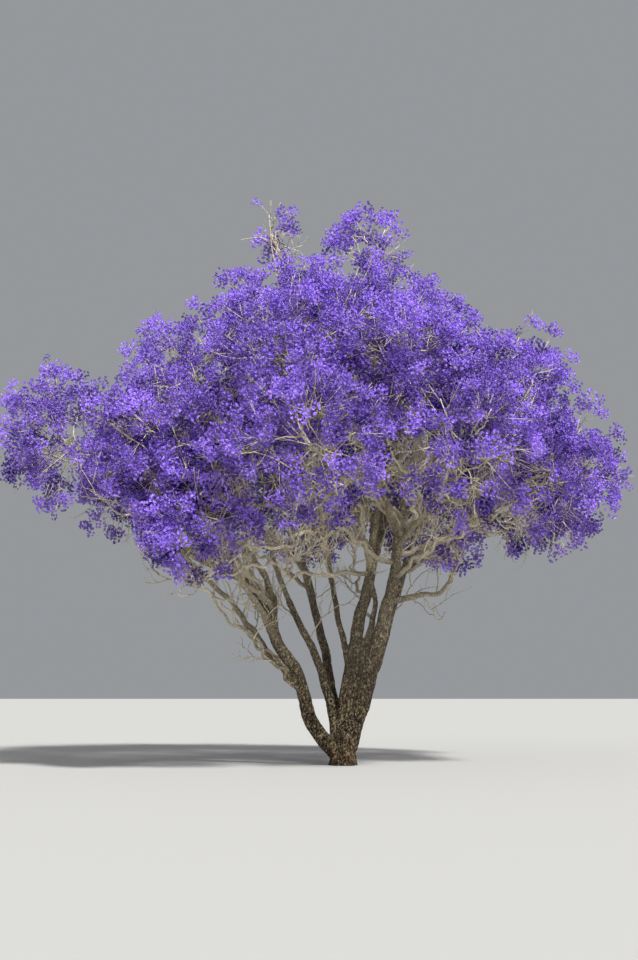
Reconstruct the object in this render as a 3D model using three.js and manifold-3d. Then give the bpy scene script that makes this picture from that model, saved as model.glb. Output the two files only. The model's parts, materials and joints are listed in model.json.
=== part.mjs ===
// A jacaranda tree in full bloom, nearly thirteen metres tall. A low trunk parts into leaning stems,
// and their boughs carry a broad, uneven dome made of many masses of violet blossom.
// One unit is a millimetre and +Z is up. +X is the tree's right and -Y is its front.
// The origin is the middle of the flat cut where the trunk meets the level ground.

import * as THREE from 'three';
import { mergeVertices } from 'three/addons/utils/BufferGeometryUtils.js';
import Module from 'manifold-3d';

const wasm = await Module();
wasm.setup();

// Gap left where one piece of wood meets another, room kept inside a mass's space and round a limb,
// and the smallest step worth keeping on a mass
const CLEARANCE = 0.3;
const SPACE_MARGIN = 4;
const LIMB_MARGIN = 6;
const SMALLEST_STEP = 3;

// The trunk: a flared and lobed foot, and two columns that part at the fork, with a slimmer one between
const FOOT = {
  line: [[0, 0, -60], [20, 0, 300], [105, -5, 950]],
  radius: 250, top: 215, flare: 85, flareHeight: 220, lobes: 5, lobeDepth: 30, sides: 10, steps: 5,
};
const COLUMN = { sides: 8, steps: 3 };
const COLUMNS = [
  { line: [[130, -10, 350], [245, -20, 850], [450, -35, 1600], [700, -50, 2350]], foot: 180, tip: 168 },
  { line: [[0, 20, 350], [15, 30, 850], [100, 35, 1600], [250, 40, 2350]], foot: 170, tip: 148 },
  { line: [[60, 5, 350], [130, 5, 850], [275, 5, 1600], [440, 0, 2250]], foot: 120, tip: 90 },
];

// Stems from the trunk up into the crown, each a tapering limb along a smooth line
const STEM = { sides: 7, steps: 5 };
const STEMS = [
  { name: 'stem_right', foot: 165, tip: 92,
    line: [[700, -50, 2350], [930, -90, 3180], [1130, -120, 4100], [1290, -150, 5350]] },
  { name: 'stem_centre', foot: 146, tip: 84,
    line: [[250, 40, 2350], [385, 90, 3180], [620, 150, 4100], [1010, 300, 5600]] },
  { name: 'stem_left', foot: 165, tip: 112,
    line: [[-110, -20, 220], [-640, -90, 830], [-940, -190, 1820], [-1450, -330, 2700],
      [-1530, -420, 3560]] },
  { name: 'stem_inner_left', foot: 112, tip: 72,
    line: [[-130, 60, 330], [-290, 90, 1400], [-590, 170, 2300], [-1160, 300, 3480]] },
  { name: 'stem_middle', foot: 74, tip: 50,
    line: [[130, 60, 2060], [-40, 160, 2930], [-210, 380, 3800], [-380, 620, 4860]] },
  { name: 'stem_rear_left', foot: 120, tip: 78,
    line: [[-60, 110, 320], [-200, 420, 1400], [-420, 900, 2600], [-820, 1650, 4300]] },
  { name: 'stem_rear_right', foot: 128, tip: 80,
    line: [[150, 100, 320], [520, 420, 1400], [900, 850, 2600], [1500, 1600, 4500]] },
];

// Low limbs off the stems, each carrying a mass straight on its own tip
const LOW_LIMBS = [
  { name: 'low_limb_left', carries: 'skirt_mass_6', foot: 72, tip: 38,
    line: [[-800, -150, 1450], [-1640, -380, 2440], [-2520, -550, 3560], [-4300, -450, 5200]] },
  { name: 'low_limb_right', carries: 'low_right_mass', foot: 66, tip: 38,
    line: [[1060, -100, 3500], [1600, -30, 3600], [2120, 30, 3700], [2420, -80, 4080]] },
];

// Masses of blossom stand in rings round the trunk. A ring's reach from the trunk and its height are
// given to the right, back, left and front, and pass smoothly from each of those sides to the next.
// A bearing is in degrees, from the right by way of the back.
const RINGS = [
  { name: 'skirt', count: 9, bearing: 340, size: 1800,
    reach: [4650, 4500, 4800, 4600], height: [6100, 6450, 6500, 6250] },
  { name: 'shoulder', count: 8, bearing: 22.5, size: 1900,
    reach: [3650, 3500, 3550, 2700], height: [7900, 7850, 8050, 8250] },
  { name: 'upper', count: 4, bearing: 0, size: 1700,
    reach: [1300, 1500, 1500, 1250], height: [9600, 9600, 9750, 9450] },
];

// Single masses that make the crown uneven
const LOBES = [
  { name: 'top', bearing: 0, reach: 650, height: 11500, size: 1080 },
  { name: 'high_left', bearing: 170, reach: 1650, height: 11950, size: 850 },
  { name: 'left_shelf', bearing: 185, reach: 6150, height: 7050, size: 1750 },
  { name: 'hanging', bearing: 233, reach: 4500, height: 4850, size: 1400 },
  { name: 'low_right', bearing: 355, reach: 2350, height: 4700, size: 750 },
];
const CROWN_HEART = [0, 0, 5200];

// Boughs. A fork's cost grows by crowding for each bough that is there already, and a bough climbs at
// least so much for each unit it runs sideways. It enters a mass at this share of the mass's size and
// swings aside by a share of its own length. Its foot is thicker the longer it is.
const BOUGH = {
  firstFork: 0.55, forkStep: 0.15, forks: 4, crowding: 700, nearFork: 0.1, climb: 0.25, tooHigh: 2,
  entry: 0.72, ofRoom: 0.9, ownWay: 0.5, wander: 0.07, swings: [7, 6], tip: 38, thicken: 0.011,
  ofStem: 0.8, sides: 5, steps: 5, firstSeed: 1000,
};

// Twigs in a mass: one for each so many millimetres of its size, spread evenly over this much of the
// ball from its outer pole, and reaching out by shares of the mass's size and of the room there is.
// The more a twig points the stem's way, the further along the stem its foot is.
const TWIG = {
  spacing: 430, spread: 1.35, hub: 0.1, reach: 0.5, ofRoom: 0.55, foot: 26, tip: 15, stemFoot: 34,
  lowest: 0.5, highest: 1, sides: 3,
};

// Sprays on a twig: one at its tip and the others fanned round a fork, with the spray's length as a
// share of the mass's size and its width and thickness as shares of its length
const SPRAY = {
  perTwig: 4, tipFoot: 0.97, tipTilt: 0.15, fanFoot: 0.74, fanTilt: 0.98, longest: 0.62, shortest: 0.36,
  uneven: 0.15, ofRoom: 0.97, shorten: 0.85, width: 0.42, thickness: 0.23, widest: 0.58,
};
const FULL_TURN = 2 * Math.PI;
const GOLDEN_TURN = Math.PI * (3 - Math.sqrt(5));
const NEARLY_UPRIGHT = 0.9;

const bark = new THREE.MeshStandardMaterial({ color: 0x776650, roughness: 0.92, metalness: 0 });
const paleBark = new THREE.MeshStandardMaterial({ color: 0x93846a, roughness: 0.9, metalness: 0 });
const blossom = new THREE.MeshStandardMaterial({ color: 0x6b4fc9, roughness: 0.75, metalness: 0 });

const vector = ([x, y, z]) => new THREE.Vector3(x, y, z);
const smoothLine = (points) => new THREE.CatmullRomCurve3(points, false, 'catmullrom', 0.5);
const from = (start, direction, distance) => start.clone().addScaledVector(direction, distance);
const heading = (start, end) => end.clone().sub(start).normalize();
const tapering = (foot, tip) => (along) => foot + (tip - foot) * along;

// Numbers from 0 to 1, in a fixed order for each seed
function seeded(seed) {
  let state = seed >>> 0;
  return () => {
    state = (state + 0x6d2b79f5) >>> 0;
    let mixed = Math.imul(state ^ (state >>> 15), state | 1);
    mixed ^= mixed + Math.imul(mixed ^ (mixed >>> 7), mixed | 61);
    return ((mixed ^ (mixed >>> 14)) >>> 0) / 2 ** 32;
  };
}

// Two directions square to a given one
function across(direction) {
  const guide = vector(Math.abs(direction.z) > NEARLY_UPRIGHT ? [1, 0, 0] : [0, 0, 1]);
  const side = guide.cross(direction).normalize();
  return [side, direction.clone().cross(side)];
}

// A direction tilted away from a given one, and spun round it
function tilted(direction, tilt, spin) {
  const [side, other] = across(direction);
  return direction.clone().multiplyScalar(Math.cos(tilt))
    .addScaledVector(side, Math.sin(tilt) * Math.cos(spin))
    .addScaledVector(other, Math.sin(tilt) * Math.sin(spin))
    .normalize();
}

function solidOf(geometry) {
  geometry.deleteAttribute('normal');
  geometry.deleteAttribute('uv');
  const merged = mergeVertices(geometry);
  return new wasm.Manifold(new wasm.Mesh({
    numProp: 3,
    vertProperties: merged.attributes.position.array,
    triVerts: new Uint32Array(merged.index.array),
  }));
}

// A closed cylinder bent along a line, with each ring square to the line and as wide as radiusAt says,
// and grown by an even amount all round where asked
function bentTube(line, radiusAt, sides, steps, grown = 0) {
  const tube = new THREE.CylinderGeometry(1, 1, 1, sides, steps);
  const frames = line.computeFrenetFrames(steps, false);
  const place = tube.attributes.position;
  const turn = FULL_TURN / sides;
  for (let i = 0; i < place.count; i += 1) {
    const ring = Math.round((place.getY(i) + 0.5) * steps);
    const point = line.getPointAt(ring / steps);
    if (ring === 0) point.addScaledVector(frames.tangents[ring], -grown);
    if (ring === steps) point.addScaledVector(frames.tangents[ring], grown);
    const onSurface = place.getX(i) !== 0 || place.getZ(i) !== 0;
    if (onSurface) {
      const side = (Math.round(Math.atan2(place.getX(i), place.getZ(i)) / turn) + sides) % sides;
      const radius = radiusAt(ring / steps, side * turn) + grown / Math.cos(turn / 2);
      point.addScaledVector(frames.normals[ring], radius * Math.cos(side * turn));
      point.addScaledVector(frames.binormals[ring], radius * Math.sin(side * turn));
    }
    place.setXYZ(i, point.x, point.y, point.z);
  }
  return solidOf(tube);
}

// Wood in three sizes: as it is, larger by the gap that later wood leaves to it, and larger by the
// room that blossom leaves to it
function wooden(name, shapeGrownBy) {
  return {
    name,
    solid: shapeGrownBy(0),
    grown: shapeGrownBy(CLEARANCE),
    wide: shapeGrownBy(LIMB_MARGIN),
  };
}

function limb(name, line, foot, tip, sides, steps) {
  const radiusAt = tapering(foot, tip);
  return { ...wooden(name, (grown) => bentTube(line, radiusAt, sides, steps, grown)), line, radiusAt };
}

function trunk() {
  const footLine = smoothLine(FOOT.line.map(vector));
  const footRadius = (along, angle) => {
    const spread = Math.exp((-along * footLine.getLength()) / FOOT.flareHeight);
    const lobe = FOOT.lobeDepth * Math.cos(FOOT.lobes * angle);
    return tapering(FOOT.radius, FOOT.top)(along) + (FOOT.flare + lobe) * spread;
  };
  return wooden('trunk', (grown) => {
    const foot = bentTube(footLine, footRadius, FOOT.sides, FOOT.steps, grown);
    const columns = COLUMNS.map((column) => bentTube(smoothLine(column.line.map(vector)),
      tapering(column.foot, column.tip), COLUMN.sides, COLUMN.steps, grown));
    return wasm.Manifold.union([foot, ...columns]).trimByPlane([0, 0, 1], 0);
  });
}

function boxesMeet(one, two) {
  const a = one.boundingBox();
  const b = two.boundingBox();
  return [0, 1, 2].every((axis) => a.min[axis] < b.max[axis] && b.min[axis] < a.max[axis]);
}

function largestPiece(solid) {
  return solid.decompose().sort((one, two) => two.volume() - one.volume())[0];
}

// Cuts a limb clear of all the wood that stands already, and adds it to that wood
function addLimb(wood, piece) {
  const rest = wood.filter(({ grown }) => boxesMeet(grown, piece.solid))
    .reduce((solid, { grown }) => solid.subtract(grown), piece.solid);
  const cut = { ...piece, solid: largestPiece(rest) };
  wood.push(cut);
  return cut;
}

// A value given to the right, back, left and front, at any bearing between them
function roundTheTree(values, bearing) {
  const quarter = Math.floor(bearing / 90) % 4;
  const share = Math.cos(((bearing / 90) % 1) * (Math.PI / 2)) ** 2;
  return values[quarter] * share + values[(quarter + 1) % 4] * (1 - share);
}

function allMasses() {
  const masses = [];
  const addMass = (name, bearing, reach, height, size) => {
    const angle = THREE.MathUtils.degToRad(bearing);
    const centre = new THREE.Vector3(reach * Math.cos(angle), reach * Math.sin(angle), height);
    masses.push({ name, centre, size, seed: masses.length + 1 });
  };
  for (const ring of RINGS) {
    for (let k = 0; k < ring.count; k += 1) {
      const bearing = (ring.bearing + (360 * k) / ring.count) % 360;
      addMass(`${ring.name}_mass_${k + 1}`, bearing,
        roundTheTree(ring.reach, bearing), roundTheTree(ring.height, bearing), ring.size);
    }
  }
  LOBES.forEach((lobe) => addMass(`${lobe.name}_mass`, lobe.bearing, lobe.reach, lobe.height, lobe.size));
  return masses;
}

// The space a mass keeps to: a ball, cut flat where it meets a neighbour's ball
function spaceOf(mass, masses) {
  const walls = [];
  for (const other of masses) {
    const apart = mass.centre.distanceTo(other.centre);
    if (other !== mass && apart < mass.size + other.size) {
      const offset = (apart ** 2 + mass.size ** 2 - other.size ** 2) / (2 * apart) - SPACE_MARGIN;
      walls.push({ normal: heading(mass.centre, other.centre), offset });
    }
  }
  const contains = (point) => {
    const inward = point.clone().sub(mass.centre);
    return inward.length() < mass.size && walls.every(({ normal, offset }) => inward.dot(normal) < offset);
  };
  // How far a straight line runs from a point inside before it leaves the space
  const roomAlong = (point, direction) => {
    const inward = point.clone().sub(mass.centre);
    const middle = inward.dot(direction);
    let room = Math.sqrt(middle ** 2 - inward.lengthSq() + mass.size ** 2) - middle;
    for (const { normal, offset } of walls) {
      const speed = direction.dot(normal);
      if (speed > 0) room = Math.min(room, (offset - inward.dot(normal)) / speed);
    }
    return room;
  };
  return { contains, roomAlong };
}

// The place on a stem that lies handiest for a mass: near it, well below it, and not yet crowded
function forkFor(mass, stems) {
  let best = { cost: Infinity };
  for (const stem of stems) {
    for (let k = 0; k < BOUGH.forks; k += 1) {
      const along = Math.min(BOUGH.firstFork + k * BOUGH.forkStep, 1);
      const point = stem.line.getPointAt(along);
      const sideways = Math.hypot(mass.centre.x - point.x, mass.centre.y - point.y);
      const tooHigh = Math.max(0, point.z + BOUGH.climb * sideways - mass.centre.z);
      const crowd = stem.forks.filter((fork) => Math.abs(fork - along) < BOUGH.nearFork).length;
      const cost = point.distanceTo(mass.centre) + BOUGH.tooHigh * tooHigh + BOUGH.crowding * crowd;
      if (cost < best.cost) best = { cost, stem, along, point };
    }
  }
  best.stem.forks.push(best.along);
  return best;
}

// A bough leaves its stem partly along the stem's own way, swings a little, and ends inside its mass
function boughFor(mass, stems) {
  const random = seeded(BOUGH.firstSeed + mass.seed);
  const { stem, along, point } = forkFor(mass, stems);
  const approach = heading(point, mass.centre);
  const room = mass.space.roomAlong(mass.centre, approach.clone().negate());
  const end = from(mass.centre, approach, -Math.min(BOUGH.entry * mass.size, BOUGH.ofRoom * room));
  const length = point.distanceTo(end);
  const leave = stem.line.getTangentAt(along).lerp(approach, BOUGH.ownWay).normalize();
  const course = new THREE.CubicBezierCurve3(
    point, from(point, leave, length / 3), from(end, approach, -length / 3), end);
  const [side, other] = across(approach);
  const phases = [random() * FULL_TURN, random() * FULL_TURN];
  const points = [];
  for (let i = 0; i <= BOUGH.steps; i += 1) {
    const t = i / BOUGH.steps;
    const swing = BOUGH.wander * length * Math.sin(Math.PI * t) ** 2;
    points.push(course.getPointAt(t)
      .addScaledVector(side, swing * Math.sin(phases[0] + BOUGH.swings[0] * t))
      .addScaledVector(other, swing * Math.sin(phases[1] + BOUGH.swings[1] * t)));
  }
  const foot = Math.min(BOUGH.ofStem * stem.radiusAt(along), BOUGH.tip + BOUGH.thicken * length);
  return limb(mass.name.replace('mass', 'bough'), smoothLine(points), foot, BOUGH.tip,
    BOUGH.sides, BOUGH.steps);
}

// A spray of blossom: eight flat faces, longest along its twig and flat across it
function spray(root, direction, flat, length) {
  const shape = new THREE.OctahedronGeometry(1);
  const corners = shape.attributes.position;
  const side = flat.clone().cross(direction).normalize();
  const normal = side.clone().cross(direction);
  const middle = from(root, direction, SPRAY.widest * length);
  for (let i = 0; i < corners.count; i += 1) {
    const lengthwise = corners.getY(i) > 0 ? 1 - SPRAY.widest : SPRAY.widest;
    const point = from(middle, direction, corners.getY(i) * lengthwise * length)
      .addScaledVector(side, corners.getX(i) * SPRAY.width * length)
      .addScaledVector(normal, corners.getZ(i) * SPRAY.thickness * length);
    corners.setXYZ(i, point.x, point.y, point.z);
  }
  return { solid: solidOf(shape), corners };
}

function cornersInside(corners, space) {
  return Array.from({ length: corners.count }, (_, i) => i)
    .every((i) => space.contains(new THREE.Vector3().fromBufferAttribute(corners, i)));
}

function twig(line, foot, tip, steps) {
  return { line, solid: bentTube(line, tapering(foot, tip), TWIG.sides, steps) };
}

// The longest spray that fits from its foot on a twig, or nothing where even a short one doesn't
function fittingSpray(foot, way, flat, longest, mass, touches) {
  let length = Math.min(longest, SPRAY.ofRoom * mass.space.roomAlong(foot, way));
  while (length > SPRAY.shortest * mass.size) {
    const { solid, corners } = spray(foot, way, flat, length);
    if (cornersInside(corners, mass.space) && !touches(solid)) return [solid];
    length *= SPRAY.shorten;
  }
  return [];
}

// The way of one twig of so many: they are spread evenly round the outward way
function twigWay(outward, i, count, turn) {
  const tilt = Math.acos(1 - (TWIG.spread * (i + 0.5)) / count);
  return tilted(outward, tilt, turn + i * GOLDEN_TURN);
}

// A mass grows from its bough's tip: one short stem, twigs from it to all sides but the inner one,
// and a fan of sprays round each twig. What would leave the space or touch a limb is skipped.
function massSolid(mass, wood) {
  const random = seeded(mass.seed);
  const touches = (solid) => wood.some(({ wide }) => boxesMeet(wide, solid)
    && !wide.intersect(solid).isEmpty());
  const entry = mass.bough.line.getTangentAt(1);
  const root = from(mass.bough.line.getPointAt(1), entry, CLEARANCE);
  const hub = from(mass.centre, entry, TWIG.hub * mass.size);
  const bend = from(root, entry, root.distanceTo(hub) / 2);
  const stem = twig(new THREE.QuadraticBezierCurve3(root, bend, hub), TWIG.stemFoot, TWIG.foot, 2);
  const outward = heading(vector(CROWN_HEART), mass.centre);
  const parts = [stem.solid];
  const count = Math.round(mass.size / TWIG.spacing);
  const turn = random() * FULL_TURN;
  for (let i = 0; i < count; i += 1) {
    const spin = random() * FULL_TURN;
    const draws = Array.from({ length: SPRAY.perTwig }, () => [random(), random()]);
    const direction = twigWay(outward, i, count, turn);
    const onward = (direction.dot(entry) + 1) / 2;
    const start = stem.line.getPoint(TWIG.lowest + (TWIG.highest - TWIG.lowest) * onward);
    const room = mass.space.roomAlong(mass.centre, direction);
    const end = from(mass.centre, direction, Math.min(TWIG.reach * mass.size, TWIG.ofRoom * room));
    const branch = twig(new THREE.LineCurve3(start, end), TWIG.foot, TWIG.tip, 1);
    if (!mass.space.contains(end) || touches(branch.solid)) continue;
    parts.push(branch.solid);
    draws.forEach(([shortened, twist], k) => {
      const foot = branch.line.getPoint(k === 0 ? SPRAY.tipFoot : SPRAY.fanFoot);
      const way = tilted(direction, k === 0 ? SPRAY.tipTilt : SPRAY.fanTilt,
        spin + (k * FULL_TURN) / (SPRAY.perTwig - 1));
      const flat = tilted(way, Math.PI / 2, twist * FULL_TURN);
      const longest = (1 - SPRAY.uneven * shortened) * SPRAY.longest * mass.size;
      parts.push(...fittingSpray(foot, way, flat, longest, mass, touches));
    });
  }
  return largestPiece(wasm.Manifold.union(parts)).simplify(SMALLEST_STEP);
}

function meshOf(name, solid, material) {
  const { vertProperties, triVerts, numProp } = solid.getMesh();
  const geometry = new THREE.BufferGeometry();
  geometry.setAttribute('position', new THREE.BufferAttribute(Float32Array.from(vertProperties), numProp));
  geometry.setIndex(new THREE.BufferAttribute(Uint32Array.from(triVerts), 1));
  const mesh = new THREE.Mesh(geometry.toNonIndexed(), material);
  mesh.geometry.computeVertexNormals();
  mesh.name = name;
  return mesh;
}

function jacaranda() {
  const wood = [trunk()];
  const byHand = ({ name, line, foot, tip }, sides) => addLimb(wood,
    limb(name, smoothLine(line.map(vector)), foot, tip, sides, STEM.steps));
  const stems = STEMS.map((stem) => ({ ...byHand(stem, STEM.sides), forks: [] }));
  const lowLimbs = LOW_LIMBS.map((low) => ({ ...byHand(low, BOUGH.sides), carries: low.carries }));
  const masses = allMasses();
  for (const mass of masses) {
    mass.space = spaceOf(mass, masses);
    mass.bough = lowLimbs.find(({ carries }) => carries === mass.name)
      ?? addLimb(wood, boughFor(mass, stems));
  }
  const tree = new THREE.Group();
  wood.forEach(({ name, solid }) => tree.add(meshOf(name, solid, name === 'trunk' ? bark : paleBark)));
  masses.forEach((mass) => tree.add(meshOf(mass.name, massSolid(mass, wood), blossom)));
  return tree;
}

export default jacaranda();
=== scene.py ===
# A jacaranda tree in full bloom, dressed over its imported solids: a fused trunk and its stems, boughs,
# twigs and violet blossom. Lengths are in metres, +Z is up, +X is the tree's right, -Y is its front.

import json
import math
from functools import lru_cache

import bmesh
import bpy
import numpy as np
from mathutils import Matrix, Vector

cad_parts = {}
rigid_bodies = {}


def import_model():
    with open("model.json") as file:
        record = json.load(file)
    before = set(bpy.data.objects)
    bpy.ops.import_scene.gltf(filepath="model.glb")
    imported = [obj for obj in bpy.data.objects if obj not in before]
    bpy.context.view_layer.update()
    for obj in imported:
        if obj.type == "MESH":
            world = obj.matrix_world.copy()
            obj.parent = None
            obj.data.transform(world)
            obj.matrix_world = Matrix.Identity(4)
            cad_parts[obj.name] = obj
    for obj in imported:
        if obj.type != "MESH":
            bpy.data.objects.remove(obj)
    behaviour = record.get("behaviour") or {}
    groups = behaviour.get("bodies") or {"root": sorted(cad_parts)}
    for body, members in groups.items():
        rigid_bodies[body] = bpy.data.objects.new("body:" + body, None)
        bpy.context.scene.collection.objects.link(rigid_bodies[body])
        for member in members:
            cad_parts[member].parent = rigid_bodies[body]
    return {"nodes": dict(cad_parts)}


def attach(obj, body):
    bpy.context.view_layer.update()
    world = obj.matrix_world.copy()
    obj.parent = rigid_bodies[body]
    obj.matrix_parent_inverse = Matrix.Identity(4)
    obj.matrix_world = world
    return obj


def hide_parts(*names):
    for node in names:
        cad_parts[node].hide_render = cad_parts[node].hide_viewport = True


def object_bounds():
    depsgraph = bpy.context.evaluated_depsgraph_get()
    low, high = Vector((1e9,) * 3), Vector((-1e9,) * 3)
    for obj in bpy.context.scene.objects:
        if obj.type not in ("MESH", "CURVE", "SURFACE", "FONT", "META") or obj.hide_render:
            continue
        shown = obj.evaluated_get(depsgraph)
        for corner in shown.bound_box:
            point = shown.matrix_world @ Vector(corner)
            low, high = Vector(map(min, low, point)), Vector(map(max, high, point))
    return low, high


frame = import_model()
CAD_BOX = [list(corner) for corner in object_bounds()]

bl_info = {
    "name": "Jacaranda Tree",
    "version": (1, 0, 0),
    "blender": (4, 5, 0),
    "location": "3D View > Sidebar > Jacaranda",
    "description": "Dresses a packed jacaranda tree with bark, boughs, twigs and violet blossom",
    "category": "Add Mesh",
}

# The trunk's foot, its two columns, the stems and the low limbs, as in the source
FOOT = {
    "line": [(0, 0, -0.06), (0.02, 0, 0.3), (0.105, -0.005, 0.95)],
    "radius": 0.25, "top": 0.215, "flare": 0.085, "flare_height": 0.22, "lobes": 5, "lobe_depth": 0.03,
}
COLUMNS = [
    {"line": [(0.13, -0.01, 0.35), (0.245, -0.02, 0.85), (0.45, -0.035, 1.6), (0.7, -0.05, 2.35)],
     "foot": 0.18, "tip": 0.168},
    {"line": [(0, 0.02, 0.35), (0.015, 0.03, 0.85), (0.1, 0.035, 1.6), (0.25, 0.04, 2.35)],
     "foot": 0.17, "tip": 0.148},
    {"line": [(0.06, 0.005, 0.35), (0.13, 0.005, 0.85), (0.275, 0.005, 1.6), (0.44, 0, 2.25)],
     "foot": 0.12, "tip": 0.09},
]
# The slim stem that the middle column runs on as, up beside the centre stem
INNER_STEM = {
    "line": [(0.24, 0.005, 1.45), (0.38, 0.0, 2.0), (0.5, 0.0, 2.55), (0.66, 0.04, 3.05),
             (0.71, 0.1, 3.5), (0.63, 0.16, 4.0)],
    "foot": 0.1, "tip": 0.045,
}
STEMS = [
    {"name": "stem_right", "foot": 0.165, "tip": 0.092,
     "line": [(0.7, -0.05, 2.35), (0.93, -0.09, 3.18), (1.13, -0.12, 4.1), (1.29, -0.15, 5.35)]},
    {"name": "stem_centre", "foot": 0.146, "tip": 0.084,
     "line": [(0.25, 0.04, 2.35), (0.385, 0.09, 3.18), (0.62, 0.15, 4.1), (1.01, 0.3, 5.6)]},
    {"name": "stem_left", "foot": 0.165, "tip": 0.112,
     "line": [(-0.11, -0.02, 0.22), (-0.64, -0.09, 0.83), (-0.94, -0.19, 1.82), (-1.45, -0.33, 2.7),
              (-1.53, -0.42, 3.56)]},
    {"name": "stem_inner_left", "foot": 0.112, "tip": 0.072,
     "line": [(-0.13, 0.06, 0.33), (-0.29, 0.09, 1.4), (-0.59, 0.17, 2.3), (-1.16, 0.3, 3.48)]},
    {"name": "stem_middle", "foot": 0.074, "tip": 0.05,
     "line": [(0.13, 0.06, 2.06), (-0.04, 0.16, 2.93), (-0.21, 0.38, 3.8), (-0.38, 0.62, 4.86)]},
    {"name": "stem_rear_left", "foot": 0.12, "tip": 0.078,
     "line": [(-0.06, 0.11, 0.32), (-0.2, 0.42, 1.4), (-0.42, 0.9, 2.6), (-0.82, 1.65, 4.3)]},
    {"name": "stem_rear_right", "foot": 0.128, "tip": 0.08,
     "line": [(0.15, 0.1, 0.32), (0.52, 0.42, 1.4), (0.9, 0.85, 2.6), (1.5, 1.6, 4.5)]},
]
LOW_LIMBS = [
    {"name": "low_limb_left", "carries": "skirt_mass_6", "foot": 0.072, "tip": 0.038,
     "line": [(-0.8, -0.15, 1.45), (-1.64, -0.38, 2.44), (-2.52, -0.55, 3.56), (-4.3, -0.45, 5.2)]},
    {"name": "low_limb_right", "carries": "low_right_mass", "foot": 0.066, "tip": 0.038,
     "line": [(1.06, -0.1, 3.5), (1.6, -0.03, 3.6), (2.12, 0.03, 3.7), (2.42, -0.08, 4.08)]},
]

# The masses of blossom: rings given to the right, back, left and front, and single lobes
RINGS = [
    {"name": "skirt", "count": 9, "bearing": 340, "size": 1.8,
     "reach": (4.65, 4.5, 4.8, 4.6), "height": (6.1, 6.45, 6.5, 6.25)},
    {"name": "shoulder", "count": 8, "bearing": 22.5, "size": 1.9,
     "reach": (3.65, 3.5, 3.55, 2.7), "height": (7.9, 7.85, 8.05, 8.25)},
    {"name": "upper", "count": 4, "bearing": 0, "size": 1.7,
     "reach": (1.3, 1.5, 1.5, 1.25), "height": (9.6, 9.6, 9.75, 9.45)},
]
LOBES = [
    {"name": "top", "bearing": 0, "reach": 0.65, "height": 11.5, "size": 1.08},
    {"name": "high_left", "bearing": 170, "reach": 1.65, "height": 11.95, "size": 0.85},
    {"name": "left_shelf", "bearing": 185, "reach": 6.15, "height": 7.05, "size": 1.75},
    {"name": "hanging", "bearing": 233, "reach": 4.5, "height": 4.85, "size": 1.4},
    {"name": "low_right", "bearing": 355, "reach": 2.35, "height": 4.7, "size": 0.75},
]
CROWN_HEART = (0, 0, 5.2)
SPACE_MARGIN = 0.004

# The source's rules for boughs, twigs and sprays
BOUGH = {
    "first_fork": 0.55, "fork_step": 0.15, "forks": 4, "crowding": 0.7, "near_fork": 0.1, "climb": 0.25,
    "too_high": 2, "entry": 0.72, "of_room": 0.9, "own_way": 0.5, "wander": 0.07, "swings": (7, 6),
    "tip": 0.038, "thicken": 0.011, "of_stem": 0.8, "steps": 5, "first_seed": 1000,
}
TWIG = {
    "spacing": 0.43, "spread": 1.35, "hub": 0.1, "reach": 0.5, "of_room": 0.55, "foot": 0.026,
    "lowest": 0.5, "highest": 1.0, "slim": 0.75, "tip": 0.011, "rise": 0.4, "bow": 0.35,
}
SPRAY = {
    "per_twig": 4, "tip_foot": 0.97, "tip_tilt": 0.15, "fan_foot": 0.74, "fan_tilt": 0.98,
    "longest": 0.62, "shortest": 0.36, "uneven": 0.15, "of_room": 0.97, "shorten": 0.85,
    "width": 0.42, "thickness": 0.23, "widest": 0.58,
}

# How far down inside its stem a bough's foot starts, and how wide it is there
SUNK_FOOT = {"depths": (0.16, 0.11, 0.06), "widths": (0.4, 0.75, 0.93)}

# Finer twigs than the source's, between its own: their spacing, spread, reach and shortest spray, and
# the part of the bough that they leave from and at what tilt
FILL = {
    "spacing": 0.17, "spread": 1.85, "reach": (0.38, 0.68), "of_room": 0.66, "shortest": 0.2,
    "from_bough": (0.72, 1.0), "tilt": 0.5, "seed": 3000,
}

# Where branches leave boughs, slender limbs and stems, as shares of their length, and how long they are
BRANCHED = {
    "bough": {"shares": (0.42, 0.62, 0.82), "lengths": (0.8, 1.4)},
    "slender": {"shares": (0.24, 0.38, 0.5, 0.62, 0.74, 0.86, 1.0), "lengths": (0.5, 1.0)},
    "stem": {"shares": (0.72, 0.88), "lengths": (0.8, 1.4)},
}
# How branches bend, fork again and again, and end in a spray
SIDE = {
    "tilt": 0.9, "end_tilt": 0.2, "rise": 0.35, "scatter": 0.2, "margin": 0.05, "bow": (0.4, 0.3),
    "bend": 0.1, "foot": 0.02, "shrink": 0.68, "uneven": (0.8, 1.15), "thin": 0.6, "children": 3,
    "levels": 2, "child_step": 0.27, "child_tilt": (0.3, 0.8), "spray": 0.6, "shortest_spray": 0.8,
    "bare_within": 3.2, "stray": 0.3, "seed": 5000,
}

# Tufts on a spray, given by their place along and across it, and the panicles in a tuft by their tilt
TUFT = {
    "places": ((0.9, 0.0), (0.6, 0.3), (0.42, -0.3)), "spacing": 0.36, "along": (-0.07, 0.07),
    "aside": (0.7, 1.2), "lift": (-0.12, 0.14), "stalk_from": 0.33, "stalk_least": 0.03,
    "tilts": (0.2, 0.85, 0.95, 0.85, 1.0), "tilt": (0.75, 1.25), "length": (0.75, 1.2), "room": 0.5,
    "stand": 0.06, "rise": 0.35, "outward": 0.45, "onward": 0.5, "bare_stalks": 3, "seed": 11,
}
# How big a share of the tufts flower: at the least, in the middle of a mass, and how much more further
# out, further up and in patches. And how a tuft's tone rises with its height and outwards, as painted
# light: paler on the crown's top and outside, with painted shade lower down and deep inside. And how it
# scatters at random
FLOWERING = {"least": 0.17, "middle": 0.8, "slope": 0.6, "higher": 0.5, "patch": 0.8, "patchy": 0.9}
TONE_AND_PAINTED_LIGHT = {"middle": 0.5, "height": 0.35, "shell": 0.2, "tuft_spread": 0.17, "panicle_spread": 0.1}
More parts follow.
